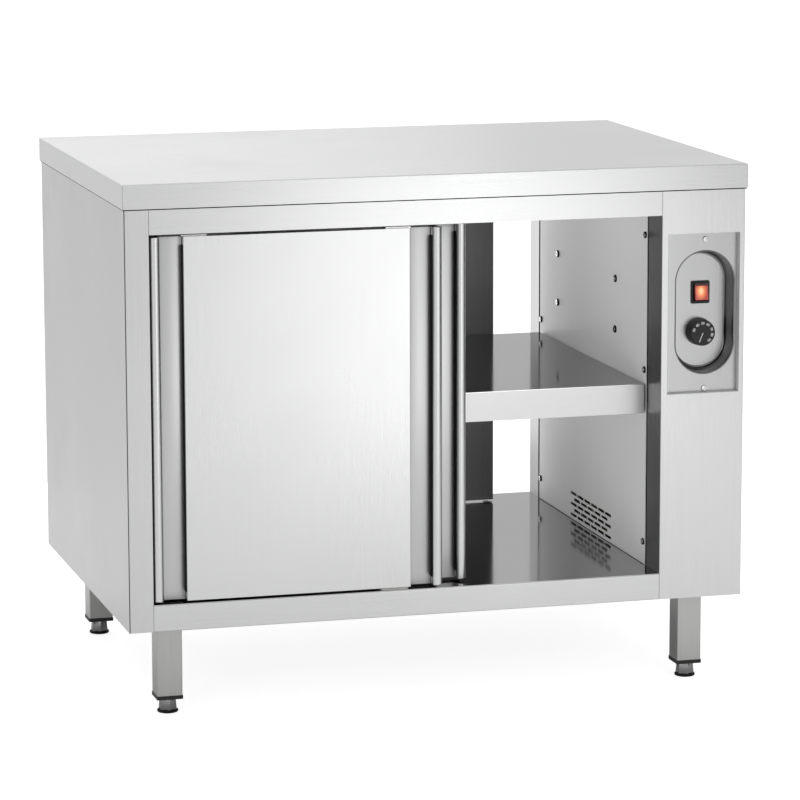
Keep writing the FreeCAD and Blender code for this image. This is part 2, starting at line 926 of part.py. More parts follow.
def is_dish_rim(edge):
    """Whether an edge lies on the mouth of the dish, in the plate's front face."""
    box = edge.BoundBox
    in_face = abs(box.YMin - plate_face) + abs(box.YMax - plate_face) < shaft_play
    across = abs(edge.CenterOfMass.x - dish_middle[0]) < dish_width / 2 + shaft_play
    along = abs(edge.CenterOfMass.z - dish_middle[1]) < dish_length / 2 + shaft_play
    return in_face and across and along


def control_plate():
    """Plate with its pressed dish, and the holes for switch, knob and screws."""
    x = widened((cutout_left, cutout_left + cutout_width), -plate_play)
    z = widened((cutout_top - cutout_height, cutout_top), -plate_play)
    plate = block(x, (plate_face, plate_face + sheet), z)
    outside = dish_solid(sheet, plate_face, dish_floor + sheet)
    pressed = joined([plate, outside]).cut(dish_solid(0, plate_face, dish_floor))
    rim = [edge for edge in pressed.Edges if is_dish_rim(edge)]
    pressed = pressed.makeFillet(dish_rim_radius, rim)
    through = (dish_floor - cut_overrun, dish_floor + cut_overrun)
    body_x, body_z = switch_body_limits()
    holes = [
        block(widened(body_x, switch_fit), through, widened(body_z, switch_fit)),
        Part.makeCylinder(
            knob_shaft_radius + knob_hole_play,
            2 * cut_overrun,
            Vector(knob_middle[0], through[0], knob_middle[1]),
            ALONG_Y,
        ),
    ]
    return pressed.cut(holes + [screw_hole(x, z) for x, z in plate_screw_places()])


def switch_body_limits():
    """Width and height limits of the switch's body behind its flange."""
    return (
        span(switch_middle[0], switch_width - 2 * switch_border + 2 * switch_wall),
        span(switch_middle[1], switch_height - 2 * switch_border + 2 * switch_wall),
    )


def rocker_pivot():
    """Middle of the rocker's pivot pins."""
    return Vector(switch_middle[0], dish_floor - switch_flange + rocker_pivot_depth, switch_middle[1])


def switch_housing():
    """Flange on the dish floor and the body behind it, with the rocker's well."""
    face = dish_floor - switch_flange
    well_x = span(switch_middle[0], switch_width - 2 * switch_border)
    well_z = span(switch_middle[1], switch_height - 2 * switch_border)
    body_x, body_z = switch_body_limits()
    flange = block(span(switch_middle[0], switch_width), (face, dish_floor), span(switch_middle[1], switch_height))
    corners = [edge for edge in flange.Edges if edge.BoundBox.YLength > edge.BoundBox.ZLength + edge.BoundBox.XLength]
    flange = flange.makeFillet(switch_corner, corners)
    body = block(body_x, (dish_floor, dish_floor + switch_body_depth), body_z)
    well = block(well_x, (face, face + switch_well_depth), well_z)
    pivot = rocker_pivot()
    hole_length = well_x[1] - well_x[0] + 2 * rocker_pin_length
    start = Vector(pivot.x - hole_length / 2, pivot.y, pivot.z)
    hole = Part.makeCylinder(rocker_pin_radius + shaft_play, hole_length, start, ALONG_X)
    return joined([flange, body]).cut([well, hole])


def switch_rocker():
    """Rocker with two sloping faces, tipped so that its lower half stands out."""
    pivot = rocker_pivot()
    half_width = switch_width / 2 - switch_border - rocker_gap
    half_height = switch_height / 2 - switch_border - rocker_end_gap
    outline = [
        (pivot.y - rocker_waist, pivot.z),
        (pivot.y - rocker_waist - rocker_rise, pivot.z - half_height),
        (pivot.y + rocker_back, pivot.z - half_height + rocker_rise),
        (pivot.y + rocker_back, pivot.z + half_height - rocker_rise),
        (pivot.y - rocker_waist - rocker_rise, pivot.z + half_height),
    ]
    body = extruded(outline, "yz", span(pivot.x, 2 * half_width))
    pin_half = half_width + rocker_gap + rocker_pin_length - shaft_play
    pin = Part.makeCylinder(rocker_pin_radius, 2 * pin_half, Vector(pivot.x - pin_half, pivot.y, pivot.z), ALONG_X)
    return joined([body, pin]).rotated(pivot, ALONG_X, -rocker_tilt)


def thermostat_knob():
    """Tapered knob with its moulded shaft."""
    x, z = knob_middle
    back = dish_floor - knob_gap
    face = Vector(x, back - knob_height, z)
    body = Part.makeCone(knob_radius - knob_taper, knob_radius, knob_height, face, ALONG_Y)
    front = [edge for edge in body.Edges if abs(edge.BoundBox.YMax - face.y) < shaft_play]
    shaft = Part.makeCylinder(knob_shaft_radius, knob_shaft_length, Vector(x, back, z), ALONG_Y)
    return joined([body.makeFillet(knob_edge_radius, front), shaft])


def thermostat_body():
    """Thermostat behind the dish floor, with the bearing of the knob's shaft."""
    x, z = knob_middle
    y = (dish_floor + sheet, dish_floor + sheet + thermostat_depth)
    body = block(span(x, thermostat_width), y, span(z, thermostat_height))
    bore_depth = knob_shaft_length - knob_gap
    bore = Part.makeCylinder(knob_shaft_radius + shaft_play, bore_depth, Vector(x, dish_floor + sheet, z), ALONG_Y)
    return body.cut(bore)


def impeller_point(radius, angle, y):
    """Point at a radius and an angle in degrees about the blower's axis."""
    turn = math.radians(angle)
    return Vector(blower_x + radius * math.cos(turn), y, blower_z + radius * math.sin(turn))


def impeller_blade(y):
    """One forward-curved blade between two arcs."""
    outer = impeller_radius - blade_sheet
    inner = outer - blade_depth
    edge = math.degrees(blade_sheet / outer)
    middle_radius = (inner + outer) / 2
    bow = math.degrees(blade_bow / middle_radius)
    start = impeller_point(inner, 0, y[0])
    middle = impeller_point(middle_radius, blade_lean / 2 - bow, y[0])
    end = impeller_point(outer, blade_lean, y[0])
    back_end = impeller_point(outer, blade_lean + edge, y[0])
    back_middle = impeller_point(middle_radius, blade_lean / 2 - bow + edge, y[0])
    back_start = impeller_point(inner, edge, y[0])
    edges = [
        Part.Arc(start, middle, end).toShape(),
        Part.LineSegment(end, back_end).toShape(),
        Part.Arc(back_end, back_middle, back_start).toShape(),
        Part.LineSegment(back_start, start).toShape(),
    ]
    return Part.Face(Part.Wire(edges)).extrude(ALONG_Y * (y[1] - y[0]))


def fan_impeller():
    """Drum of curved blades between end discs, with stub shafts."""
    y = widened(duct_limits, -impeller_end_gap)
    centre = Vector(blower_x, 0, blower_z)
    blade = impeller_blade(y)
    blades = []
    for number in range(impeller_blades):
        blades.append(blade.rotated(centre, ALONG_Y, 360 / impeller_blades * number))
    discs = []
    for start in (y[0], y[1] - impeller_disc):
        disc_start = Vector(blower_x, start, blower_z)
        discs.append(Part.makeCylinder(impeller_radius, impeller_disc, disc_start, ALONG_Y))
    front_reach = impeller_end_gap + 2 * sheet
    rear_reach = impeller_end_gap + sheet + motor_shaft_depth
    front_start = Vector(blower_x, y[0] - front_reach, blower_z)
    rear_start = Vector(blower_x, y[1], blower_z)
    shafts = [
        Part.makeCylinder(impeller_shaft_radius, front_reach, front_start, ALONG_Y),
        Part.makeCylinder(impeller_shaft_radius, rear_reach, rear_start, ALONG_Y),
    ]
    return joined(discs + blades + shafts)


def scroll_wall():
    """Curved wall behind the impeller, from the duct's floor to past its top."""
    y = duct_limits
    outer = scroll_radius + sheet
    middle_angle = (scroll_end_angle - 90) / 2
    edges = [
        Part.Arc(
            impeller_point(scroll_radius, -90, y[0]),
            impeller_point(scroll_radius, middle_angle, y[0]),
            impeller_point(scroll_radius, scroll_end_angle, y[0]),
        ).toShape(),
        Part.LineSegment(
            impeller_point(scroll_radius, scroll_end_angle, y[0]),
            impeller_point(outer, scroll_end_angle, y[0]),
        ).toShape(),
        Part.Arc(
            impeller_point(outer, scroll_end_angle, y[0]),
            impeller_point(outer, middle_angle, y[0]),
            impeller_point(outer, -90, y[0]),
        ).toShape(),
        Part.LineSegment(
            impeller_point(outer, -90, y[0]),
            impeller_point(scroll_radius, -90, y[0]),
        ).toShape(),
    ]
    return Part.Face(Part.Wire(edges)).extrude(ALONG_Y * (y[1] - y[0]))


def heater_heights():
    """Heights of the heater tube's two straight passes."""
    return span(floor_top + sheet + duct_height / 2, heater_spacing)


def fan_scroll():
    """Blower casing: duct floor, curved wall, tongue and two end plates."""
    y = duct_limits
    duct_floor = block((duct_face, blower_x), y, (floor_top, floor_top + sheet))
    tongue_z = floor_top + sheet + duct_height
    tongue_end = duct_face + tongue_length
    tongue = block((duct_face, tongue_end), y, (tongue_z, tongue_z + sheet))
    baffle = block((tongue_end - sheet, tongue_end), y, (tongue_z, tongue_z + tongue_rise))
    end_x = (duct_face, blower_x + scroll_radius + sheet)
    end_z = (floor_top, tongue_z + tongue_rise)
    ends = [block(end_x, (y[0] - sheet, y[0]), end_z), block(end_x, (y[1], y[1] + sheet), end_z)]
    shaft_start = Vector(blower_x, y[0] - cut_overrun, blower_z)
    shaft_run = y[1] - y[0] + 2 * cut_overrun
    holes = [Part.makeCylinder(impeller_shaft_radius + shaft_play, shaft_run, shaft_start, ALONG_Y)]
    for z in heater_heights():
        start = Vector(duct_face + heater_setback, y[0] - cut_overrun, z)
        holes.append(Part.makeCylinder(heater_tube_radius + shaft_play, 2 * cut_overrun, start, ALONG_Y))
    return joined([duct_floor, scroll_wall(), tongue, baffle] + ends).cut(holes)


def fan_motor():
    """Motor on the rear end plate, with the bore that takes the impeller's shaft."""
    start = Vector(blower_x, duct_limits[1] + sheet, blower_z)
    body = Part.makeCylinder(motor_radius, motor_length, start, ALONG_Y)
    bore = Part.makeCylinder(impeller_shaft_radius + shaft_play, motor_shaft_depth, start, ALONG_Y)
    return body.cut(bore)


def heater_element():
    """Tube bent to a U, with square fins along both passes."""
    x = duct_face + heater_setback
    low, high = heater_heights()
    start = duct_limits[0] - sheet - heater_terminal
    bend = duct_limits[1] - fin_border - heater_spacing / 2
    pieces = []
    for z in (low, high):
        pieces.append(Part.makeCylinder(heater_tube_radius, bend - start, Vector(x, start, z), ALONG_Y))
    circle = Part.makeCircle(heater_tube_radius, Vector(x, bend, high), ALONG_Y)
    centre = Vector(x, bend, (low + high) / 2)
    pieces.append(Part.Face(Part.Wire([circle])).revolve(centre, -ALONG_X, 180))
    first = duct_limits[0] + fin_border
    pitch = (bend - first) / heater_fins
    for number in range(heater_fins):
        y = first + number * pitch
        pieces.append(block(span(x, fin_width), (y, y + fin_sheet), span(centre.z, fin_height)))
    return joined(pieces)


def gland_place():
    """Where the cord enters, behind the right rear leg's channel."""
    return (body_right - gland_offset_x, body_rear - gland_offset_y)


def housing_base():
    """Plate under the heating compartment, with the hole of the cord's gland."""
    x = (duct_face, body_right - sheet)
    z = (floor_bottom, floor_top)
    main = block(x, (body_front + sheet, body_rear - sheet), z)
    foot = block((opening_right, duct_face), (liner_front, liner_rear), z)
    place = gland_place()
    start = Vector(place[0], place[1], floor_bottom - cut_overrun)
    hole = Part.makeCylinder(gland_hole_radius + screw_play, sheet + 2 * cut_overrun, start, ALONG_Z)
    return joined([main, foot]).cut(hole)


def cable_gland():
    """Screwed gland: nut above the plate, six-sided collar and domed cap below it."""
    place = gland_place()
    thread_start = Vector(place[0], place[1], floor_bottom)
    thread = Part.makeCylinder(gland_hole_radius, sheet + gland_nut_height, thread_start, ALONG_Z)
    nut = Part.Face(hexagon(place, gland_nut_radius, floor_top)).extrude(ALONG_Z * gland_nut_height)
    collar_low = floor_bottom - gland_nut_height
    collar = Part.Face(hexagon(place, gland_nut_radius, collar_low)).extrude(ALONG_Z * gland_nut_height)
    cap_low = collar_low - gland_cap_height
    cap = Part.makeCone(
        gland_cap_mouth_radius,
        gland_nut_radius * math.cos(math.pi / 6),
        gland_cap_height,
        Vector(place[0], place[1], cap_low),
        ALONG_Z,
    )
    bore_length = floor_top + gland_nut_height - cap_low
    bore = Part.makeCylinder(gland_bore_radius, bore_length, Vector(place[0], place[1], cap_low), ALONG_Z)
    return joined([thread, nut, collar, cap]).cut(bore)


def shell_nodes():
    """Worktop, body shell and inner walls."""
    return {
        "worktop": worktop(),
        "worktop_core": worktop_core(),
        "left_side_panel": left_side_panel(),
        "right_housing_panel": right_housing_panel(),
        "front_top_rail": front_top_rail(),
        "front_bottom_rail": front_bottom_rail(),
        "rear_top_rail": to_rear(front_top_rail()),
        "rear_bottom_rail": to_rear(front_bottom_rail()),
        "cabinet_floor": cabinet_floor(),
        "cabinet_ceiling": cabinet_ceiling(),
        "left_liner": left_liner(),
        "right_liner": right_liner(),
        "panel_screws": panel_screws(),
        "shelf": shelf(),
        "shelf_pegs": shelf_pegs(),
    }


def underframe_nodes():
    """Channels, legs, plugs and feet."""
    nodes = {"leg_channels": leg_channels(), "leg_plugs": leg_plugs()}
    for name, (x, y) in leg_places().items():
        nodes["leg_" + name] = leg(x, y)
        nodes["foot_" + name] = foot(x, y)
    return nodes


def running_gear_nodes():
    """Rails and floor guides of both door pairs."""
    return {
        "front_track": front_track(),
        "rear_track": to_rear(front_track()),
        "front_floor_guide": front_floor_guide(),
        "rear_floor_guide": to_rear(front_floor_guide()),
    }


def control_nodes():
    """Control plate, switch and thermostat."""
    return {
        "control_plate": control_plate(),
        "switch_housing": switch_housing(),
        "switch_rocker": switch_rocker(),
        "thermostat_knob": thermostat_knob(),
        "thermostat_body": thermostat_body(),
    }


def heating_nodes():
    """Blower, heater and cord inlet."""
    return {
        "fan_impeller": fan_impeller(),
        "fan_scroll": fan_scroll(),
        "fan_motor": fan_motor(),
        "heater_element": heater_element(),
        "housing_base": housing_base(),
        "cable_gland": cable_gland(),
    }


def main():
    """Writes one STEP file for each piece."""
    os.makedirs("parts", exist_ok=True)
    groups = (shell_nodes(), underframe_nodes(), running_gear_nodes(), all_doors(), control_nodes(), heating_nodes())
    for nodes in groups:
        for name, shape in nodes.items():
            shape.exportStep("parts/" + name + ".step")


main()
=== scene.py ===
"""Heated plate cabinet with sliding doors: finishes, small fittings and studio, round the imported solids."""

import logging
import math
from dataclasses import dataclass, field
from enum import Enum

import bmesh
import bpy
from mathutils import Matrix, Vector


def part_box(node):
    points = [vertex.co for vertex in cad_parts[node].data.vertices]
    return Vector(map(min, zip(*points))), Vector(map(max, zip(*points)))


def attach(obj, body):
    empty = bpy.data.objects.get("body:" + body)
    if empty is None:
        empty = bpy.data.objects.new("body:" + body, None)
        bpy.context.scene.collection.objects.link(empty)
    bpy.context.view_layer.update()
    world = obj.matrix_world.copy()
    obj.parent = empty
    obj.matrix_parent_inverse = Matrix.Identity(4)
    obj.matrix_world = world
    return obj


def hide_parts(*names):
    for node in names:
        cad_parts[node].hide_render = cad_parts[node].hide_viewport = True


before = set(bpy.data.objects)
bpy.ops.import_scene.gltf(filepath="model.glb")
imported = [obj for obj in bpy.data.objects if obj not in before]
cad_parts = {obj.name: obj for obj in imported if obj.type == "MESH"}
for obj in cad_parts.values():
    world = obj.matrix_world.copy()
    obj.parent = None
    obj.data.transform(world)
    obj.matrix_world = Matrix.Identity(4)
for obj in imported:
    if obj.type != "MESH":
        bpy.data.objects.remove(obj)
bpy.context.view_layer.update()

log = logging.getLogger("plate_cabinet")

Shape = bmesh.types.BMesh
Socket = bpy.types.NodeSocket

UNIT = (0.0, 1.0)
ORIGIN = (0.0, 0.0, 0.0)
WHITE = (1.0, 1.0, 1.0, 1.0)
QUARTER = math.pi / 2


class Grain(Enum):
    """Which way the brushing of a sheet runs: the stretch of its strokes on each axis."""

    ACROSS = (0.006, 1.0, 1.0)
    DEPTHWISE = (1.0, 0.006, 1.0)
    UPRIGHT = (1.0, 1.0, 0.006)
    TURNED = (1.0, 1.0, 1.0)


def opaque(colour: object) -> object:
    """Makes a grey level or plain colour a colour with alpha, and leaves a socket as it is."""
    if isinstance(colour, float):
        return (colour, colour, colour, 1.0)
    return (*colour, 1.0) if isinstance(colour, tuple) and len(colour) == 3 else colour


class Wiring:
    """A node tree being made, with short calls that add its nodes and join them."""

    def __init__(self, tree: bpy.types.NodeTree) -> None:
        """Starts from a tree that it empties."""
        self.tree = tree
        tree.nodes.clear()

    def node(self, kind: str, inputs: dict | None = None, **settings: object) -> bpy.types.Node:
        """Adds one node.

        Args:
            kind: Blender's own name for the type of node.
            inputs: a value or another node's socket for each input, by its name or number.
            settings: the node's other properties.

        Returns:
            The new node.
        """
        made = self.tree.nodes.new(kind)
        for name, value in settings.items():
            setattr(made, name, value)
        for key, value in (inputs or {}).items():
            self.feed(made.inputs[key], value)
        return made

    def feed(self, socket: Socket, value: object) -> None:
        """Joins an input to another node's output, or sets it.

        Args:
            socket: the input.
            value: an output socket, or a plain value.
        """
        if isinstance(value, Socket):
            self.tree.links.new(value, socket)
        else:
            socket.default_value = value

    def place(self) -> Socket:
        """Returns the surface's own Object coordinates."""
        return self.node("ShaderNodeTexCoord").outputs["Object"]

    def stretched(self, vector: Socket, scale: tuple) -> Socket:
        """Returns coordinates scaled on each axis."""
        return self.node("ShaderNodeMapping", {"Vector": vector, "Scale": scale}).outputs["Vector"]

    def noise(self, vector: Socket, scale: object, detail: float, rough: float) -> Socket:
        """Returns noise of so many waves per metre, with finer layers of a count and strength."""
        values = {"Vector": vector, "Scale": scale, "Detail": detail, "Roughness": rough}
        return self.node("ShaderNodeTexNoise", values).outputs[0]

    def ranged(self, value: Socket, source: tuple, target: tuple = UNIT) -> Socket:
        """Maps one range of values on another, and stops at its ends."""
        ends = {"Value": value, 1: source[0], 2: source[1], 3: target[0], 4: target[1]}
        return self.node("ShaderNodeMapRange", ends).outputs["Result"]

    def maths(self, operation: str, first: object, second: object = 0.0) -> Socket:
        """Works out one sum on two values."""
        return self.node("ShaderNodeMath", {0: first, 1: second}, operation=operation).outputs[0]

    def halfway(self, first: Socket, second: Socket) -> Socket:
        """Returns the mean of two values."""
        return self.maths("MULTIPLY", self.maths("ADD", first, second), 0.5)

    def measured(self, operation: str, first: Socket, second: tuple = ORIGIN) -> Socket:
        """Returns a length, a distance or a product of vectors, as a value."""
        return self.node("ShaderNodeVectorMath", {0: first, 1: second}, operation=operation).outputs["Value"]

    def blended(self, share: Socket, first: object, second: object) -> Socket:
        """Mixes two colours, with a share of the second one from 0 to 1."""
        mixed = self.node("ShaderNodeMix", {0: share, 6: opaque(first), 7: opaque(second)}, data_type="RGBA")
        return mixed.outputs[2]

    def relief(self, height: Socket, strength: float, depth: float) -> Socket:
        """Turns a height from 0 to 1 into bumps of a depth in metres, and returns the bent normal."""
        values = {"Height": height, "Strength": strength, "Distance": depth}
        return self.node("ShaderNodeBump", values).outputs[0]


@dataclass
class SharedEffects:
    """Shader groups that the finishes share, each made once by the method of its name."""

    made: dict = field(default_factory=dict)
    finer: float = 3.1
    stroke_span: tuple = (0.34, 0.66)
    cloud_span: tuple = (0.3, 0.7)
    wipe_span: tuple = (0.52, 0.68)
    pit_span: tuple = (0.35, 0.65)
    arc_waves: float = 2.2
    arc_bend: float = 9.0

    def group(self, name: str) -> bpy.types.NodeTree:
        """Returns a group, which is made when it is first asked for.

        Args:
            name: the effect's name.
        """
        if name not in self.made:
            tree = bpy.data.node_groups.new(name, "ShaderNodeTree")
            sockets = (("Place", "INPUT", "Vector"), ("Size", "INPUT", "Float"), ("Mask", "OUTPUT", "Float"))
            for label, side, kind in sockets:
                tree.interface.new_socket(name=label, in_out=side, socket_type=f"NodeSocket{kind}")
            wiring = Wiring(tree)
            given = wiring.node("NodeGroupInput").outputs
            mask = getattr(self, name)(wiring, given["Place"], given["Size"])
            wiring.node("NodeGroupOutput", {"Mask": mask})
            self.made[name] = tree
        return self.made[name]

    def strokes(self, wiring: Wiring, place: Socket, size: Socket) -> Socket:
        """Wires fine brush strokes.

        Args:
            wiring: the group's wiring.
            place: coordinates squeezed along the stroke.
            size: waves per metre.
        """
        coarse = wiring.noise(place, size, 2.0, 0.6)
        fine = wiring.noise(place, wiring.maths("MULTIPLY", size, self.finer), 1.0, 0.5)
        return wiring.ranged(wiring.halfway(coarse, fine), self.stroke_span)

    def clouding(self, wiring: Wiring, place: Socket, size: Socket) -> Socket:
        """Wires the slow unevenness that every rolled or moulded surface has."""
        return wiring.ranged(wiring.noise(place, size, 2.0, 0.45), self.cloud_span)

    def wiping(self, wiring: Wiring, place: Socket, size: Socket) -> Socket:
        """Wires faint wiping marks: long soft arcs, mostly absent.

        Args:
            wiring: the group's wiring.
            place: the surface's coordinates.
            size: waves per metre of what hides them.
        """
        values = {"Vector": place, "Scale": self.arc_waves, "Distortion": self.arc_bend, "Detail": 1.0}
        arcs = wiring.node("ShaderNodeTexWave", values, wave_type="RINGS").outputs["Fac"]
        seen = wiring.ranged(wiring.noise(place, size, 3.0, 0.5), self.wipe_span)
        return wiring.maths("MULTIPLY", seen, arcs)

    def pitting(self, wiring: Wiring, place: Socket, size: Socket) -> Socket:
        """Wires a mould's fine eroded texture."""
        return wiring.ranged(wiring.noise(place, size, 3.0, 0.7), self.pit_span)

    def flakes(self, wiring: Wiring, place: Socket, size: Socket) -> Socket:
        """Wires flat flakes: zinc crystals on galvanised sheet, or chips in a board."""
        cells = wiring.node("ShaderNodeTexVoronoi", {"Vector": place, "Scale": size, "Randomness": 1.0})
        return wiring.node("ShaderNodeSeparateColor", {0: cells.outputs["Color"]}).outputs[0]


@dataclass
class Surface:
    """A material being wired: its nodes, its shader, its Object coordinates and the shared groups."""

    wiring: Wiring
    shader: bpy.types.Node
    place: Socket
    effects: SharedEffects

    def effect(self, name: str, size: float, place: Socket | None = None) -> Socket:
        """Returns a shared group's mask, on the surface's own coordinates or on others."""
        values = {"Place": self.place if place is None else place, "Size": size}
        return self.wiring.node("ShaderNodeGroup", values, node_tree=self.effects.group(name)).outputs["Mask"]

    def feed(self, sources: dict) -> None:
        """Joins or sets the shader's inputs by their names."""
        for name, source in sources.items():
            self.wiring.feed(self.shader.inputs[name], source)


def new_material(name: str) -> tuple[bpy.types.Material, Wiring]:
    """Returns a new material and its wiring."""
    material = bpy.data.materials.new(name)
    material.use_nodes = True
    return material, Wiring(material.node_tree)


@dataclass(frozen=True)
class Finish:
    """What every finish has: a name, two colours or grey levels, and how smooth and how rough it gets."""

    name: str
    dark: tuple | float
    light: tuple | float
    smooth: float
    rough: float

    def wire(self, surface: Surface) -> None:
        """Wires the shader, in each kind of finish's own way."""
        raise NotImplementedError

    def material(self, effects: SharedEffects) -> bpy.types.Material:
        """Makes the material.

        Args:
            effects: the shared shader groups.

        Returns:
            The finished material.
        """
        material, wiring = new_material(self.name)
        shader = wiring.node("ShaderNodeBsdfPrincipled")
        wiring.node("ShaderNodeOutputMaterial", {"Surface": shader.outputs["BSDF"]})
        material.diffuse_color = opaque(self.light)
        self.wire(Surface(wiring, shader, wiring.place(), effects))
        return material

    def shades(self, surface: Surface, mask: Socket) -> Socket:
        """Returns the colour, from dark to light by a mask."""
        return surface.wiring.blended(mask, self.dark, self.light)

    def roughness(self, surface: Surface, mask: Socket) -> Socket:
        """Returns the roughness, from smooth to rough by a mask."""
        return surface.wiring.ranged(mask, UNIT, (self.smooth, self.rough))


@dataclass(frozen=True)
class PaintedLightArea:
    """A part of a surface painted lighter or darker than the rest: painted light where `gain` is over one,
    painted shade where it is under.

    The part lies where the place's distance along `toward` is under `start`, and it fades out up to `end`.
    """

    toward: tuple
    start: float
    end: float
    gain: float


@dataclass(frozen=True)
class BrushedSteel(Finish):
    """Stainless sheet or bar with fine strokes along one way.

    Its `cast` is what each colour channel has above the two grey levels.
    """

    grain: Grain = Grain.ACROSS
    fineness: float = 700.0
    depth: float = 0.00003
    relief: float = 0.25
    cloud_size: float = 3.0
    mark_size: float = 5.0
    metal: float = 1.0
    marks: float = 0.0
    stretch: float = 0.0
    edge_tint: float = 1.0
    cast: tuple = (0.0, 0.0, 0.0)
    bright_above: float | None = None
    bright_fade: float = 0.0008
    bright_rough: float = 0.1
    painted_highlight_gain: float = 1.0
    # Painted shade along upright corner lines: their places in X and Y, the dark level and how far it reaches.
    painted_corner_shade_lines: tuple = ()
    painted_corner_shade_level: float = 0.05
    painted_corner_shade_reach: tuple = (0.0009, 0.0018)
    # Parts painted lighter or darker: painted light and painted shade.
    patches: tuple = ()

    def steel(self, surface: Surface, tone: Socket, gain: float = 1.0) -> Socket:
        """Returns the steel's colour with its cast, from dark to light by a tone, made lighter by a gain."""
        ends = [tuple((level + part) * gain for part in self.cast) for level in (self.dark, self.light)]
        return surface.wiring.blended(tone, *ends)

    def wire(self, surface: Surface) -> None:
        """Wires the strokes, a top band that is smoother and partly a painted highlight, painted shade along
        corner lines, and areas of painted light and shade.

        Args:
            surface: the material being wired.
        """
        wiring, place = surface.wiring, surface.place
        stroke = surface.effect("strokes", self.fineness, wiring.stretched(place, self.grain.value))
        tone = wiring.halfway(stroke, surface.effect("clouding", self.cloud_size))
        colour = self.steel(surface, tone)
        rough = self.roughness(surface, tone)
        if self.marks:
            mark = wiring.maths("MULTIPLY", surface.effect("wiping", self.mark_size), self.marks)
            rough = wiring.maths("ADD", rough, mark)
        # Above a height the surface is smoother, a real gloss, and its colour is made lighter by a gain, a
        # painted highlight.
        if self.bright_above is not None:
            height = wiring.node("ShaderNodeSeparateXYZ", {0: place}).outputs["Z"]
            share = wiring.ranged(height, (self.bright_above - self.bright_fade, self.bright_above))
            rough = wiring.node("ShaderNodeMix", {0: share, 2: rough, 3: self.bright_rough}).outputs[0]
            colour = wiring.blended(share, colour, self.steel(surface, tone, self.painted_highlight_gain))
        # Painted shade: the colour darkens towards a dark level within a millimetre or two of each listed
        # upright corner line.
        for line in self.painted_corner_shade_lines:
            away = wiring.measured("DISTANCE", wiring.stretched(place, (1.0, 1.0, 0.0)), (*line, 0.0))
            colour = wiring.blended(wiring.ranged(away, self.painted_corner_shade_reach), self.painted_corner_shade_level, colour)
        # Painted light and shade: each area scales the colour by its gain.
        for patch in self.patches:
            away = wiring.measured("DOT_PRODUCT", place, patch.toward)
            gain = wiring.ranged(away, (patch.start, patch.end), (patch.gain, 1.0))
            values = {0: colour, "Scale": gain}
            colour = wiring.node("ShaderNodeVectorMath", values, operation="SCALE").outputs[0]
        surface.feed(
            {
                "Base Color": colour,
                "Roughness": rough,
                "Normal": wiring.relief(stroke, self.relief, self.depth),
                "Metallic": self.metal,
                "Anisotropic": self.stretch,
                "Specular Tint": opaque(self.edge_tint),
            }
        )


@dataclass(frozen=True)
class Moulded(Finish):
    """Moulded plastic or rubber with the mould's fine texture."""

    fineness: float = 2600.0
    gloss: float = 0.5
    depth: float = 0.00004
    relief: float = 0.3
    cloud_size: float = 22.0

    def wire(self, surface: Surface) -> None:
        """Wires the mould's texture.

        Args:
            surface: the material being wired.
        """
        pit = surface.effect("pitting", self.fineness)
        surface.feed(
            {
                "Base Color": self.shades(surface, surface.effect("clouding", self.cloud_size)),
                "Roughness": self.roughness(surface, pit),
                "Normal": surface.wiring.relief(pit, self.relief, self.depth),
                "Specular IOR Level": self.gloss,
            }
        )


@dataclass(frozen=True)
class Flaked(Finish):
    """Galvanised sheet with its crystals, or a board with its chips."""

    size: float = 160.0
    metal: float = 1.0
    depth: float = 0.00005
    relief: float = 0.15
    cloud_size: float = 9.0

    def wire(self, surface: Surface) -> None:
        """Wires the flakes.

        Args:
            surface: the material being wired.
        """
        flake = surface.effect("flakes", self.size)
        tone = surface.wiring.halfway(flake, surface.effect("clouding", self.cloud_size))
        surface.feed(
            {
                "Base Color": self.shades(surface, tone),
                "Roughness": self.roughness(surface, flake),
                "Normal": surface.wiring.relief(flake, self.relief, self.depth),
                "Metallic": self.metal,
            }
        )


@dataclass(frozen=True)
class HeatTinted(Finish):
    """Stainless tube and fins that have run hot: straw to blue-brown patches."""

    straw: tuple = (0.36, 0.27, 0.16)
    straw_at: float = 0.55
    cloud_size: float = 34.0

    def wire(self, surface: Surface) -> None:
        """Wires the patches.

        Args:
            surface: the material being wired.
        """
        cloud = surface.effect("clouding", self.cloud_size)
        patches = surface.wiring.node("ShaderNodeValToRGB", {0: cloud})
        ramp = patches.color_ramp
        ramp.elements[0].color = opaque(self.dark)
        ramp.elements[1].color = opaque(self.light)
        ramp.elements.new(self.straw_at).color = opaque(self.straw)
        rough = self.roughness(surface, cloud)
        surface.feed({"Base Color": patches.outputs[0], "Roughness": rough, "Metallic": 1.0})


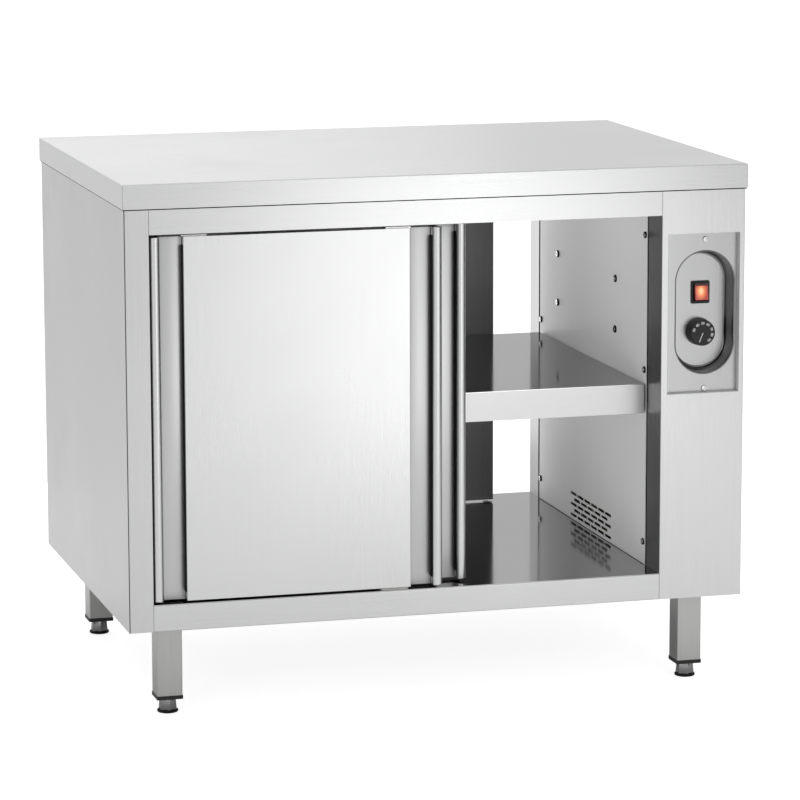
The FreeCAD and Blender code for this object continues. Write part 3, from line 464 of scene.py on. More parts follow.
@dataclass(frozen=True)
class LitLens(Finish):
    """Translucent red rocker with a small lamp shining behind its upper half."""

    lamp: tuple = ORIGIN
    spread: tuple = (0.0052, 0.02, 0.0075)
    glow: tuple = ((0.16, (1.0, 0.72, 0.36)), (0.42, (0.8, 0.27, 0.1)), (0.8, (0.27, 0.05, 0.045)))
    strength: float = 0.85
    fineness: float = 420.0
    ragged: float = 0.12
    reach: float = 2.4
    relief: float = 0.1
    depth: float = 0.00003

    def wire(self, surface: Surface) -> None:
        """Wires the glow round the lamp.

        Args:
            surface: the material being wired.
        """
        wiring = surface.wiring
        squeeze = tuple(1.0 / reach for reach in self.spread)
        shift = tuple(-centre / reach for centre, reach in zip(self.lamp, self.spread))
        values = {"Vector": surface.place, "Location": shift, "Scale": squeeze}
        from_lamp = wiring.node("ShaderNodeMapping", values).outputs[0]
        pit = surface.effect("pitting", self.fineness)
        ripple = wiring.ranged(pit, UNIT, (-self.ragged, self.ragged))
        away = wiring.maths("ADD", wiring.measured("LENGTH", from_lamp), ripple)
        glow = wiring.node("ShaderNodeValToRGB", {0: wiring.ranged(away, (0.0, self.reach))})
        stops = glow.color_ramp.elements
        for stop, (spot, colour) in zip(stops, (self.glow[0], self.glow[-1])):
            stop.position = spot
            stop.color = opaque(colour)
        middle, colour = self.glow[1]
        stops.new(middle).color = opaque(colour)
        surface.feed(
            {
                "Emission Color": glow.outputs[0],
                "Emission Strength": self.strength,
                "Base Color": self.shades(surface, pit),
                "Roughness": self.roughness(surface, pit),
                "Normal": wiring.relief(pit, self.relief, self.depth),
            }
        )


@dataclass
class FinishRange:
    """All the cabinet's finishes, made once and handed out by name."""

    effects: SharedEffects = field(default_factory=SharedEffects)
    ready: dict = field(default_factory=dict)
    lamp_offset: tuple = (-0.0012, -0.008, 0.0012)
    satin: tuple = (0.25, 0.34)
    satin_cast: tuple = (0.0, 0.003, 0.002)
    sheet_cast: tuple = (0.0, 0.002, 0.001)
    # Painted light and shade: the side panel's front face (its stile) is painted lighter, and the housing
    # panel's two jambs are painted darker.
    front_return_painted_light: PaintedLightArea = PaintedLightArea((0.0, 1.0, 0.0), -0.3455, -0.3452, 1.15)
    jambs: PaintedLightArea = PaintedLightArea((1.0, 0.0, 0.0), 0.3603, 0.3606, 0.5)
    painted_shade_at_rear_return: PaintedLightArea = PaintedLightArea((1.0, -0.1, 0.0), 0.3312, 0.3316, 0.85)
    shelf_fold: float = 0.0004

    def sheets(self) -> tuple[Finish, ...]:
        """Returns the finishes of the outer sheets."""
        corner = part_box("left_side_panel")[0]
        painted_corner_shade_places = ((corner.x, corner.y), (corner.x, -corner.y))
        up, satin_cast, sheet_cast = Grain.UPRIGHT, self.satin_cast, self.sheet_cast
        return (
            BrushedSteel("satin_across", 0.452, 0.505, *self.satin, marks=0.04, cast=satin_cast),
            BrushedSteel(
                "satin_upright", 0.485, 0.52, *self.satin, up, marks=0.03, stretch=0.3, cast=satin_cast
            ),
            # The side panel gets painted shade along its front-left and rear-left corners, and painted light on
            # its stile.
            BrushedSteel(
                "side_steel", 0.38, 0.42, *self.satin, up,
                marks=0.03, cast=sheet_cast, painted_corner_shade_lines=painted_corner_shade_places, patches=(self.front_return_painted_light,),
            ),
            # The housing panel's front and rear jambs are painted darker, painted shade.
            BrushedSteel(
                "housing_steel", 0.5, 0.56, *self.satin, up,
                metal=0.82, marks=0.03, stretch=0.3, cast=sheet_cast, patches=(self.jambs, self.painted_shade_at_rear_return),
            ),
            BrushedSteel("recess_steel", 0.41, 0.45, 0.33, 0.4, up, cast=sheet_cast),
            BrushedSteel("plate_steel", 0.355, 0.395, 0.22, 0.3, up, stretch=0.3, cast=sheet_cast),
            BrushedSteel("satin_depthwise", 0.485, 0.52, 0.34, 0.44, Grain.DEPTHWISE, cast=satin_cast),
        )

    def inner_steels(self) -> tuple[Finish, ...]:
        """Returns the finishes of the inner sheets, the legs and the small metal parts."""
        up, across, turned = Grain.UPRIGHT, Grain.ACROSS, Grain.TURNED
        shelf_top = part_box("shelf")[1].z - self.shelf_fold
        return (
            BrushedSteel("return_steel", 0.6, 0.66, 0.4, 0.5, up, metal=0.3),
            # Dish wall: dark base colour standing in for the dark reflection in the dish, painted shade.
            BrushedSteel("dish_wall_painted_shade_steel", 0.1, 0.22, 0.14, 0.3, up),
            BrushedSteel("leg_steel", 0.33, 0.39, 0.32, 0.42, up, cast=(0.0, 0.0, -0.005)),
            BrushedSteel("foot_steel", 0.14, 0.3, 0.16, 0.26, up),
            BrushedSteel("liner_steel", 0.8, 0.84, 0.46, 0.5, up, metal=0.6, stretch=0.95),
            # Door backs: a very dark base colour for the low light inside the cabinet, painted shade.
            BrushedSteel("door_inside_painted_shade_steel", 0.09, 0.13, 0.3, 0.4, up),
            BrushedSteel(
                "mirror_floor_steel", 0.43, 0.48, 0.07, 0.12, across, 900.0, 0.00001, edge_tint=0.65
            ),
            # The shelf's top edge is smoother and painted a little lighter: partly real gloss, partly painted
            # highlight.
            BrushedSteel(
                "shelf_steel", 0.45, 0.49, 0.32, 0.4, across, 900.0, 0.00001,
                edge_tint=0.6, bright_above=shelf_top, painted_highlight_gain=1.05,
            ),
            BrushedSteel("turned_steel", 0.55, 0.66, 0.16, 0.26, turned, 1400.0),
            BrushedSteel("zinc_plated_steel", 0.42, 0.56, 0.2, 0.34, turned, 900.0),
            BrushedSteel("mill_aluminium", 0.58, 0.7, 0.3, 0.42, across, 500.0, cast=(0.0, 0.0, 0.01)),
        )

    def others(self) -> tuple[Finish, ...]:
        """Returns the finishes of board, plastic, paint and the lit lens."""
        lamp = sum(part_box("switch_rocker"), Vector()) / 2 + Vector(self.lamp_offset)
        return (
            Flaked("galvanised_sheet", (0.42, 0.43, 0.44), (0.6, 0.61, 0.62), 0.3, 0.5),
            Flaked("chip_board", (0.28, 0.19, 0.1), (0.58, 0.43, 0.26), 0.7, 0.9, 240.0, 0.0),
            HeatTinted("heated_steel", (0.2, 0.17, 0.19), (0.5, 0.44, 0.34), 0.28, 0.46),
            Moulded("black_plastic", 0.009, 0.017, 0.42, 0.56, gloss=0.32),
            Moulded("dark_sealant", 0.02, 0.034, 0.5, 0.7, 1500.0),
            # Near-black with little gloss: the screw collars' own colour, and on the recess strips, beads and
            # gap strips a stand-in for the shade there, painted shade.
            Moulded("black_trim_and_painted_shade", 0.004, 0.009, 0.7, 0.85, 1500.0, gloss=0.12),
            Moulded("rocker_red", (0.03, 0.004, 0.004), (0.05, 0.008, 0.008), 0.3, 0.42),
            Moulded("sole_nylon", 0.006, 0.01, 0.5, 0.66, gloss=0.16),
            Moulded("natural_nylon", (0.55, 0.55, 0.52), (0.64, 0.64, 0.61), 0.45, 0.6),
            Moulded("motor_lacquer", (0.018, 0.018, 0.019), (0.032, 0.032, 0.033), 0.3, 0.42, 900.0),
            Moulded("dial_paint", (0.72, 0.72, 0.7), (0.8, 0.8, 0.78), 0.4, 0.5, 1800.0),
            LitLens("lit_red_lens", (0.3, 0.03, 0.02), (0.42, 0.05, 0.03), 0.22, 0.34, lamp=tuple(lamp)),
        )

    def prepare(self) -> None:
        """Makes every material."""
        for finish in (*self.sheets(), *self.inner_steels(), *self.others()):
            self.ready[finish.name] = finish.material(self.effects)

    def dress(self, finishes: dict[str, tuple[str, ...]]) -> None:
        """Puts finishes on CAD nodes.

        Args:
            finishes: the nodes that get each named finish.
        """
        for finish, nodes in finishes.items():
            for node in nodes:
                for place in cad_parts[node].material_slots:
                    place.material = self.ready[finish]
                log.info("node %s: %s", node, finish)


def new_object(name: str, form: Shape, material: bpy.types.Material) -> bpy.types.Object:
    """Makes an object of a shape.

    Args:
        name: its name.
        form: its shape, which this call frees.
        material: its material.

    Returns:
        The object, in the scene.
    """
    mesh = bpy.data.meshes.new(name)
    form.to_mesh(mesh)
    form.free()
    mesh.materials.append(material)
    made = bpy.data.objects.new(name, mesh)
    bpy.context.scene.collection.objects.link(made)
    return made


@dataclass
class Workshop:
    """Turns finished bmesh shapes into pieces of the cabinet."""

    finishes: FinishRange
    weld: float = 0.000004

    def piece(
        self, name: str, form: Shape, finish: str, body: str, slot: str, smooth_below: float = 35.0
    ) -> bpy.types.Object:
        """Makes a piece from its shape.

        Args:
            name: the piece's name.
            form: its shape, in place, which this call frees.
            finish: the name of its finish.
            body: the CAD body that it rides on.
            slot: the record's material slot that it stands for; not used.
            smooth_below: edges under this angle in degrees look round.

        Returns:
            The new object.
        """
        bmesh.ops.remove_doubles(form, verts=form.verts, dist=self.weld)
        bmesh.ops.recalc_face_normals(form, faces=form.faces)
        made = new_object(name, form, self.finishes.ready[finish])
        for polygon in made.data.polygons:
            polygon.use_smooth = True
        made.data.set_sharp_from_angle(angle=math.radians(smooth_below))
        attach(made, body)
        log.info("piece %s on %s: %d faces", name, body, len(made.data.polygons))
        return made


def moved(form: Shape, verts: list, matrix: Matrix) -> None:
    """Moves some vertices of a shape."""
    bmesh.ops.transform(form, matrix=matrix, verts=verts)


def grown_verts(grown: dict) -> list:
    """Returns the new vertices of an extrusion."""
    return [part for part in grown["geom"] if isinstance(part, bmesh.types.BMVert)]


def spun(form: Shape, profile: tuple, steps: int, turns: int = 1, pitch: float = 0.0) -> list:
    """Turns a profile about the Z axis, level or as a screw.

    Args:
        form: the shape it is added to.
        profile: radius and height of each point.
        steps: how many steps one turn takes.
        turns: how many turns it makes.
        pitch: how far one turn rises.

    Returns:
        The new vertices.
    """
    before = set(form.verts)
    points = [form.verts.new((radius, 0.0, height)) for radius, height in profile]
    edges = [form.edges.new(pair) for pair in zip(points, points[1:])]
    bmesh.ops.spin(
        form,
        geom=[*points, *edges],
        cent=ORIGIN,
        axis=(0.0, 0.0, 1.0),
        dvec=(0.0, 0.0, pitch / steps),
        angle=2 * math.pi * turns,
        steps=steps * turns,
        use_merge=pitch == 0.0,
        use_duplicate=False,
    )
    return [vert for vert in form.verts if vert not in before]


def break_edges(form: Shape, edges: list, width: float, segments: int = 2) -> None:
    """Bevels some edges of a shape."""
    ways = {"offset_type": "OFFSET", "profile": 0.5, "affect": "EDGES", "material": -1}
    bmesh.ops.bevel(form, geom=edges, offset=width, segments=segments, **ways)


def bar(form: Shape, low: tuple, high: tuple, edge: float) -> None:
    """Adds a straight bar with broken edges.

    Args:
        form: the shape it is added to.
        low: its lowest corner.
        high: its highest corner.
        edge: the width of its broken edges.
    """
    size = Vector(high) - Vector(low)
    middle = Matrix.Translation((Vector(high) + Vector(low)) / 2)
    verts = bmesh.ops.create_cube(form, size=1.0, matrix=middle @ Matrix.Diagonal((*size, 1.0)))["verts"]
    break_edges(form, list({edge_of for vert in verts for edge_of in vert.link_edges}), edge)


@dataclass
class CrossScrews:
    """Pan-head screws with a cross recess, of the inner walls and of the control plate."""

    workshop: Workshop
    crown_radius: float = 0.0036
    head_height: float = 0.0034
    dome: tuple = (
        (0.004176, 0.003162), (0.004464, 0.00238), (0.0048, 0.001224),
        (0.0048, 0.0), (0.0025, 0.0), (0.0025, -0.009),
    )
    recess_depth: float = 0.0016
    recess_taper: float = 0.7
    arm_width: float = 0.2
    arm_reach: float = 0.8
    blank_scale: float = 1.13
    wall_depths: tuple = (-0.268, 0.28)
    wall_heights: tuple = (0.22094, 0.50055, 0.71707)
    blank_depths: tuple = (-0.12, 0.1865)
    blank_heights: tuple = (0.544, 0.627)
    plate_heights: tuple = (0.7158, 0.4783)
    plate_middle: float = 0.43575
    wall_twist: tuple = (0.7, 1.3, 0.9)
    plate_twist: tuple = (0.35, 0.6)
    grid: int = 10
    collar: tuple = (
        (0.0046, 0.0), (0.0052, 0.0), (0.0053, 0.0014), (0.0051, 0.0025), (0.0046, 0.0029), (0.0046, 0.0),
    )
    collar_steps: int = 24

    def head(self, form: Shape) -> list:
        """Adds one screw that points along Z, with its head's seat at zero.

        Args:
            form: the shape it is added to.

        Returns:
            The screw's vertices.
        """
        before = set(form.verts)
        bmesh.ops.create_grid(form, x_segments=self.grid, y_segments=self.grid, size=1.0)
        crown = [vert for vert in form.verts if vert not in before]
        fresh = [face for face in form.faces if face.verts[0] not in before]
        arms = [face for face in fresh if self.in_cross(face.calc_center_median())]
        rim = [edge for edge in form.edges if edge.is_boundary and edge.verts[0] not in before]
        for vert in crown:
            x, y = vert.co.x, vert.co.y
            vert.co.x = x * math.sqrt(1 - y * y / 2) * self.crown_radius
            vert.co.y = y * math.sqrt(1 - x * x / 2) * self.crown_radius
            vert.co.z = self.head_height
        low = grown_verts(bmesh.ops.extrude_face_region(form, geom=arms))
        bmesh.ops.delete(form, geom=arms, context="FACES_ONLY")
        bmesh.ops.scale(form, vec=(self.recess_taper, self.recess_taper, 1.0), verts=low)
        bmesh.ops.translate(form, vec=(0.0, 0.0, -self.recess_depth), verts=low)
        reach = self.crown_radius
        for radius, height in self.dome:
            grown = bmesh.ops.extrude_edge_only(form, edges=rim)
            ring = grown_verts(grown)
            rim = [part for part in grown["geom"] if isinstance(part, bmesh.types.BMEdge)]
            bmesh.ops.scale(form, vec=(radius / reach, radius / reach, 1.0), verts=ring)
            bmesh.ops.translate(form, vec=(0.0, 0.0, height - ring[0].co.z), verts=ring)
            reach = radius
        bmesh.ops.edgeloop_fill(form, edges=rim)
        return [vert for vert in form.verts if vert not in before]

    def in_cross(self, centre: Vector) -> bool:
        """Tells whether a face of the crown's grid lies in the recess."""
        thin, long = sorted((abs(centre.x), abs(centre.y)))
        return thin < self.arm_width and long < self.arm_reach

    def on_walls(self, depths: tuple, heights: tuple, scale: float) -> list[Matrix]:
        """Returns screw places on both inner walls.

        Args:
            depths: their places from front to rear.
            heights: their heights.
            scale: how much wider than a panel screw they are.
        """
        wider = Matrix.Diagonal((scale, scale, 1.0, 1.0))
        walls = ((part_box("left_liner")[1].x, QUARTER), (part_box("right_liner")[0].x, -QUARTER))
        start, by_depth, by_height = self.wall_twist
        found = []
        for number, depth in enumerate(depths):
            for turn, height in enumerate(heights):
                twist = Matrix.Rotation(start + by_depth * number + by_height * turn, 4, "Z")
                for wall, facing in walls:
                    seat = Matrix.Translation((wall, depth, height)) @ Matrix.Rotation(facing, 4, "Y")
                    found.append(seat @ twist @ wider)
        return found

    def places(self) -> list[Matrix]:
        """Returns the place of every screw, those of the plate last."""
        found = self.on_walls(self.wall_depths, self.wall_heights, 1.0)
        found += self.on_walls(self.blank_depths, self.blank_heights, self.blank_scale)
        start, step = self.plate_twist
        for turn, height in enumerate(self.plate_heights):
            seat = Matrix.Translation((self.plate_middle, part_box("control_plate")[0].y, height))
            twist = Matrix.Rotation(start + step * turn, 4, "Z")
            found.append(seat @ Matrix.Rotation(QUARTER, 4, "X") @ twist)
        return found

    def build(self) -> None:
        """Makes all the screws as one piece, and the collars of those in the walls as another."""
        screws, collars, places = bmesh.new(), bmesh.new(), self.places()
        for place in places:
            moved(screws, self.head(screws), place)
        for place in places[: -len(self.plate_heights)]:
            moved(collars, spun(collars, self.collar, self.collar_steps), place)
        made = self.workshop.piece("cross_screws", screws, "turned_steel", "cabinet", "bright_steel")
        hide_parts("panel_screws")
        self.workshop.piece("screw_collars", collars, "black_trim_and_painted_shade", "cabinet", "black_plastic")


@dataclass
class SealsAndGapShade:
    """Black beads under the worktop and beside the floor and strips behind the gaps, sealant that also stands
    in for the shade in those gaps (painted shade), and buffers on the jambs.
    """

    workshop: Workshop
    worktop_sheet: float = 0.0012
    drop: float = 0.0018
    height: float = 0.004
    sunk: float = 0.0007
    clear: float = 0.00005
    edge: float = 0.0003
    fine_edge: float = 0.0001
    slit: tuple = (0.0029, 0.0001)
    slit_depth: float = 0.0002
    slit_edge: float = 0.00005
    end_play: float = 0.001
    backing: float = 0.0008
    backing_lap: float = 0.002
    backing_reach: float = 0.0105
    side_gap: float = 0.0054
    buffer: float = 0.0004

    def under_worktop(self) -> Shape:
        """Returns the bead round the body, in the gap behind the worktop's folded edge."""
        form = bmesh.new()
        low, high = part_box("worktop")
        body_low, body_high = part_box("left_side_panel")[0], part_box("right_housing_panel")[1]
        inset = self.worktop_sheet + self.clear
        left, front, right, rear = low.x + inset, low.y + inset, high.x - inset, high.y - inset
        runs = (
            (left, front, body_low.x - self.clear, rear),
            (body_high.x + self.clear, front, right, rear),
            (body_low.x, front, body_high.x, body_low.y - self.clear),
            (body_low.x, body_high.y + self.clear, body_high.x, rear),
        )
        for x0, y0, x1, y1 in runs:
            bar(form, (x0, y0, low.z - self.drop), (x1, y1, low.z + self.height), self.edge)
        return form

    def beside_floor(self) -> Shape:
        """Returns the bead in the slit between the cabinet floor and the right inner wall."""
        form = bmesh.new()
        low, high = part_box("right_liner")
        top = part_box("cabinet_floor")[1].z - self.sunk
        near, far = (low.x - reach for reach in self.slit)
        corner = (near, low.y + self.end_play, top - self.slit_depth)
        bar(form, corner, (far, high.y - self.end_play, top), self.slit_edge)
        return form

    def behind_gaps(self) -> Shape:
        """Returns the strips that close the gaps between the inner walls and the jambs from behind."""
        form = bmesh.new()
        for liner, side in (("left_liner", -1.0), ("right_liner", 1.0)):
            low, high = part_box(liner)
            back = high.x if side > 0 else low.x
            x = sorted((back + side * self.clear, back + side * (self.clear + self.backing)))
            for edge, outward in ((low.y, -1.0), (high.y, 1.0)):
                y = sorted((edge - outward * self.backing_lap, edge + outward * self.backing_reach))
                z = (low.z + self.end_play, high.z - self.end_play)
                bar(form, (x[0], y[0], z[0]), (x[1], y[1], z[1]), self.edge)
        return form

    def on_jambs(self) -> Shape:
        """Returns the buffer strips on the two left jambs, which the outer doors close against."""
        form = bmesh.new()
        low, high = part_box("front_outer_door_pan")
        jamb = low.x - self.side_gap
        for depth in ((low.y, high.y), (-high.y, -low.y)):
            bar(form, (jamb, depth[0], low.z), (jamb + self.buffer, depth[1], high.z), self.fine_edge)
        return form

    def build(self) -> None:
        """Makes the beads, the strips behind the gaps and the buffers."""
        # The black beads and strips are partly sealant and partly a stand-in for the shade in the gaps, painted
        # shade.
        pieces = (
            ("worktop_bead_painted_shade", self.under_worktop(), "black_trim_and_painted_shade"),
            ("floor_bead_painted_shade", self.beside_floor(), "black_trim_and_painted_shade"),
            ("gap_shade_strips", self.behind_gaps(), "black_trim_and_painted_shade"),
            ("jamb_buffers", self.on_jambs(), "dark_sealant"),
        )
        for name, form, finish in pieces:
            self.workshop.piece(name, form, finish, "cabinet", "black_plastic", smooth_below=20.0)


@dataclass
class Shell:
    """Worktop, folded outer panels, inner walls, shelf and pegs."""

    workshop: Workshop

    def dress(self) -> None:
        """Puts the finishes on the shell's nodes."""
        self.workshop.finishes.dress(
            {
                "satin_across": (
                    "worktop", "front_top_rail", "front_bottom_rail", "rear_top_rail", "rear_bottom_rail",
                ),
                "housing_steel": ("right_housing_panel",),
                "side_steel": ("left_side_panel",),
                "plate_steel": ("control_plate",),
                "satin_depthwise": ("cabinet_ceiling", "leg_channels"),
                "liner_steel": ("left_liner", "right_liner"),
                "mirror_floor_steel": ("cabinet_floor",),
                "shelf_steel": ("shelf",),
                "turned_steel": ("shelf_pegs",),
                "chip_board": ("worktop_core",),
            }
        )

    def build(self) -> None:
        """Makes the screws of the inner walls and of the control plate, and the black beads and strips at the
        joints, partly sealant and partly painted shade.
        """
        CrossScrews(self.workshop).build()
        SealsAndGapShade(self.workshop).build()


@dataclass
class ScrewFoot:
    """Levelling foot: black sole, six-sided collar that narrows upwards, and a threaded stem."""

    workshop: Workshop
    name: str
    sole_radius: float = 0.0165
    sole_height: float = 0.0045
    sole_shape: tuple = (
        (0.0, 0.0), (0.78, 0.0), (0.95, 0.2), (1.0, 0.42), (1.0, 0.86), (0.965, 1.0), (0.0, 1.0),
    )
    sole_steps: int = 40
    collar_low: float = 0.015
    collar_high: float = 0.0135
    collar_top: float = 0.0238
    collar_sides: int = 6
    collar_edge: float = 0.0006
    collar_steps: int = 3
    root: float = 0.0042
    core: float = 0.004242
    crest: float = 0.004975
    crest_share: tuple = (0.42, 0.58)
    pitch: float = 0.0015
    bare_turns: int = 3
    stem_sides: int = 24
    turn_steps: int = 16

    def sole(self) -> Shape:
        """Returns the moulded sole."""
        form = bmesh.new()
        profile = tuple((x * self.sole_radius, z * self.sole_height) for x, z in self.sole_shape)
        spun(form, profile, self.sole_steps)
        return form

    def cone(self, sides: int, radii: tuple, low: float, high: float) -> Shape:
        """Returns an upright cone with its ends closed.

        Args:
            sides: how many sides it has.
            radii: its radius at the bottom and at the top.
            low: its lowest point.
            high: its highest point.
        """
        form = bmesh.new()
        middle = Matrix.Translation((0.0, 0.0, (low + high) / 2))
        size = {"radius1": radii[0], "radius2": radii[1], "depth": high - low}
        bmesh.ops.create_cone(form, cap_ends=True, segments=sides, matrix=middle, **size)
        return form

    def collar(self) -> Shape:
        """Returns the six-sided collar, with its edges broken."""
        radii = (self.collar_low, self.collar_high)
        form = self.cone(self.collar_sides, radii, self.sole_height, self.collar_top)
        break_edges(form, form.edges[:], self.collar_edge, self.collar_steps)
        return form

    def stem(self, top: float) -> Shape:
        """Returns the stem with its thread.

        Args:
            top: the stem's highest point.
        """
        form = self.cone(self.stem_sides, (self.core, self.core), self.collar_top, top)
        start = self.collar_top + self.pitch
        flank = tuple((self.crest, start + self.pitch * share) for share in self.crest_share)
        profile = ((self.root, start), *flank, (self.root, start + self.pitch))
        turns = int((top - self.collar_top - self.bare_turns * self.pitch) / self.pitch)
        spun(form, profile, self.turn_steps, turns, self.pitch)
        return form

    def build(self) -> None:
        """Makes the foot's three pieces where the CAD foot stands."""
        low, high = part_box(self.name)
        place = Matrix.Translation(((low.x + high.x) / 2, (low.y + high.y) / 2, 0.0))
        parts = (
            ("sole", self.sole(), "sole_nylon", "black_plastic"),
            ("collar", self.collar(), "foot_steel", "bright_steel"),
            ("stem", self.stem(high.z), "foot_steel", "bright_steel"),
        )
        for part, form, finish, slot in parts:
            moved(form, form.verts[:], place)
            made = self.workshop.piece(f"{self.name}_{part}", form, finish, self.name, slot)
            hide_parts(self.name)


@dataclass
class Underframe:
    """Square legs, their black end plugs and the four screw feet."""

    workshop: Workshop
    corners: tuple = ("front_left", "front_right", "rear_left", "rear_right")

    def dress(self) -> None:
        """Puts the finishes on the underframe's nodes."""
        self.workshop.finishes.dress(
            {
                "leg_steel": tuple(f"leg_{corner}" for corner in self.corners),
                "black_plastic": ("leg_plugs",),
            }
        )

    def build(self) -> None:
        """Makes the four feet."""
        for corner in self.corners:
            ScrewFoot(self.workshop, f"foot_{corner}").build()


@dataclass
class DoorGrips:
    """The visible parts of a door's two finger recesses: floors, black strips on the walls that stand in for
    their shade (painted shade), and rounded outer edges.
    """

    workshop: Workshop
    door: str
    lip: float = 0.012
    margin: float = 0.0475
    shade_strip: float = 0.0006
    shade_strip_front: float = 0.0022
    shade_strip_back: float = 0.001
    shade_strip_end: float = 0.0125
    floor_depth: float = 0.0122
    sheet: float = 0.0008
    edge: float = 0.0002
    short: float = 0.0005
    nose_middle: tuple = (-0.0037, 0.0068)
    nose_radius: float = 0.0082
    nose_steps: int = 18
    nose_back: tuple = ((0.0046, 0.0095), (0.004, 0.0118), (0.0024, 0.0128), (-0.001, 0.0129))

    def nose(self) -> list[tuple[float, float]]:
        """Returns the outline of a lip's rounded edge, from its inner side round the front to the back."""
        arc = []
        for step in range(self.nose_steps + 1):
            turn = math.pi * step / self.nose_steps
            x = self.nose_middle[0] - self.nose_radius * math.cos(turn)
            arc.append((x, self.nose_middle[1] - self.nose_radius * math.sin(turn)))
        return [*arc, *self.nose_back]

    def placed(self) -> Matrix:
        """Returns where the middle of the door's front lies, with Y pointing into the door."""
        low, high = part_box(f"{self.door}_pan")
        front = low.y < 0.0
        middle = Matrix.Translation(((low.x + high.x) / 2, low.y if front else high.y, 0.0))
        return middle @ Matrix.Rotation(0.0 if front else math.pi, 4, "Z")

    def strip(self, form: Shape, x: tuple, y: tuple, inset: float) -> None:
        """Adds an upright strip of a span across and into the door, short of its ends by an inset."""
        low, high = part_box(f"{self.door}_pan")
        bar(form, (min(x), min(y), low.z + inset), (max(x), max(y), high.z - inset), self.edge)

    def rounded_edge(self, form: Shape, outer: float, side: float) -> None:
        """Adds the rounded edge of one lip.

        Args:
            form: the shape it is added to.
            outer: where the lip ends.
            side: one at the door's right and minus one at its left.
        """
        low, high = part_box(f"{self.door}_pan")
        base = low.z + self.short
        ring = [form.verts.new((outer + side * x, y, base)) for x, y in self.nose()]
        face = form.faces.new(ring)
        top = grown_verts(bmesh.ops.extrude_face_region(form, geom=[face]))
        bmesh.ops.translate(form, vec=(0.0, 0.0, high.z - self.short - base), verts=top)

    def build(self) -> None:
        """Makes the floors, the black painted-shade strips and the rounded edges."""
        low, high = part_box(f"{self.door}_pan")
        half = (high.x - low.x) / 2
        deep = high.y - low.y
        floors, shade_strips, noses = bmesh.new(), bmesh.new(), bmesh.new()
        gaps = ((self.lip - half, self.margin - half), (half - self.margin, half - self.lip))
        for left, right in gaps:
            wall = right - self.shade_strip
            # A thin black strip on the recess wall, painted shade.
            self.strip(shade_strips, (wall, right), (self.shade_strip_front, deep - self.shade_strip_back), self.shade_strip_end)
            self.strip(floors, (left, wall), (self.floor_depth, self.floor_depth + self.sheet), self.short)
        for side in (-1.0, 1.0):
            self.rounded_edge(noses, side * half, side)
        pieces = (
            ("recess_floors", floors, "recess_steel", "satin_steel"),
            ("painted_shade_strips", shade_strips, "black_trim_and_painted_shade", "black_plastic"),
            ("rounded_edges", noses, "satin_upright", "satin_steel"),
        )
        for kind, form, finish, slot in pieces:
            moved(form, form.verts[:], self.placed())
            self.workshop.piece(f"{self.door}_{kind}", form, finish, self.door, slot, smooth_below=29.0)


@dataclass
class RunningGear:
    """Hanging rails, floor guides, and the four doors with their hangers and rollers."""

    workshop: Workshop
    doors: tuple = ("front_outer", "front_inner", "rear_outer", "rear_inner")

    def dress(self) -> None:
        """Puts the finishes on the running gear's nodes."""
        rollers = tuple(f"{door}_door_{side}_roller" for door in self.doors for side in ("left", "right"))
        self.workshop.finishes.dress(
            {
                "mill_aluminium": ("front_track", "rear_track"),
                "natural_nylon": ("front_floor_guide", "rear_floor_guide", *rollers),
                "satin_upright": tuple(f"{door}_door_pan" for door in self.doors),
                "door_inside_painted_shade_steel": tuple(f"{door}_door_back" for door in self.doors),
                "zinc_plated_steel": tuple(f"{door}_door_hangers" for door in self.doors),
            }
        )

    def build(self) -> None:
        """Finishes the finger recesses of the four doors."""
        for door in self.doors:
            DoorGrips(self.workshop, f"{door}_door").build()


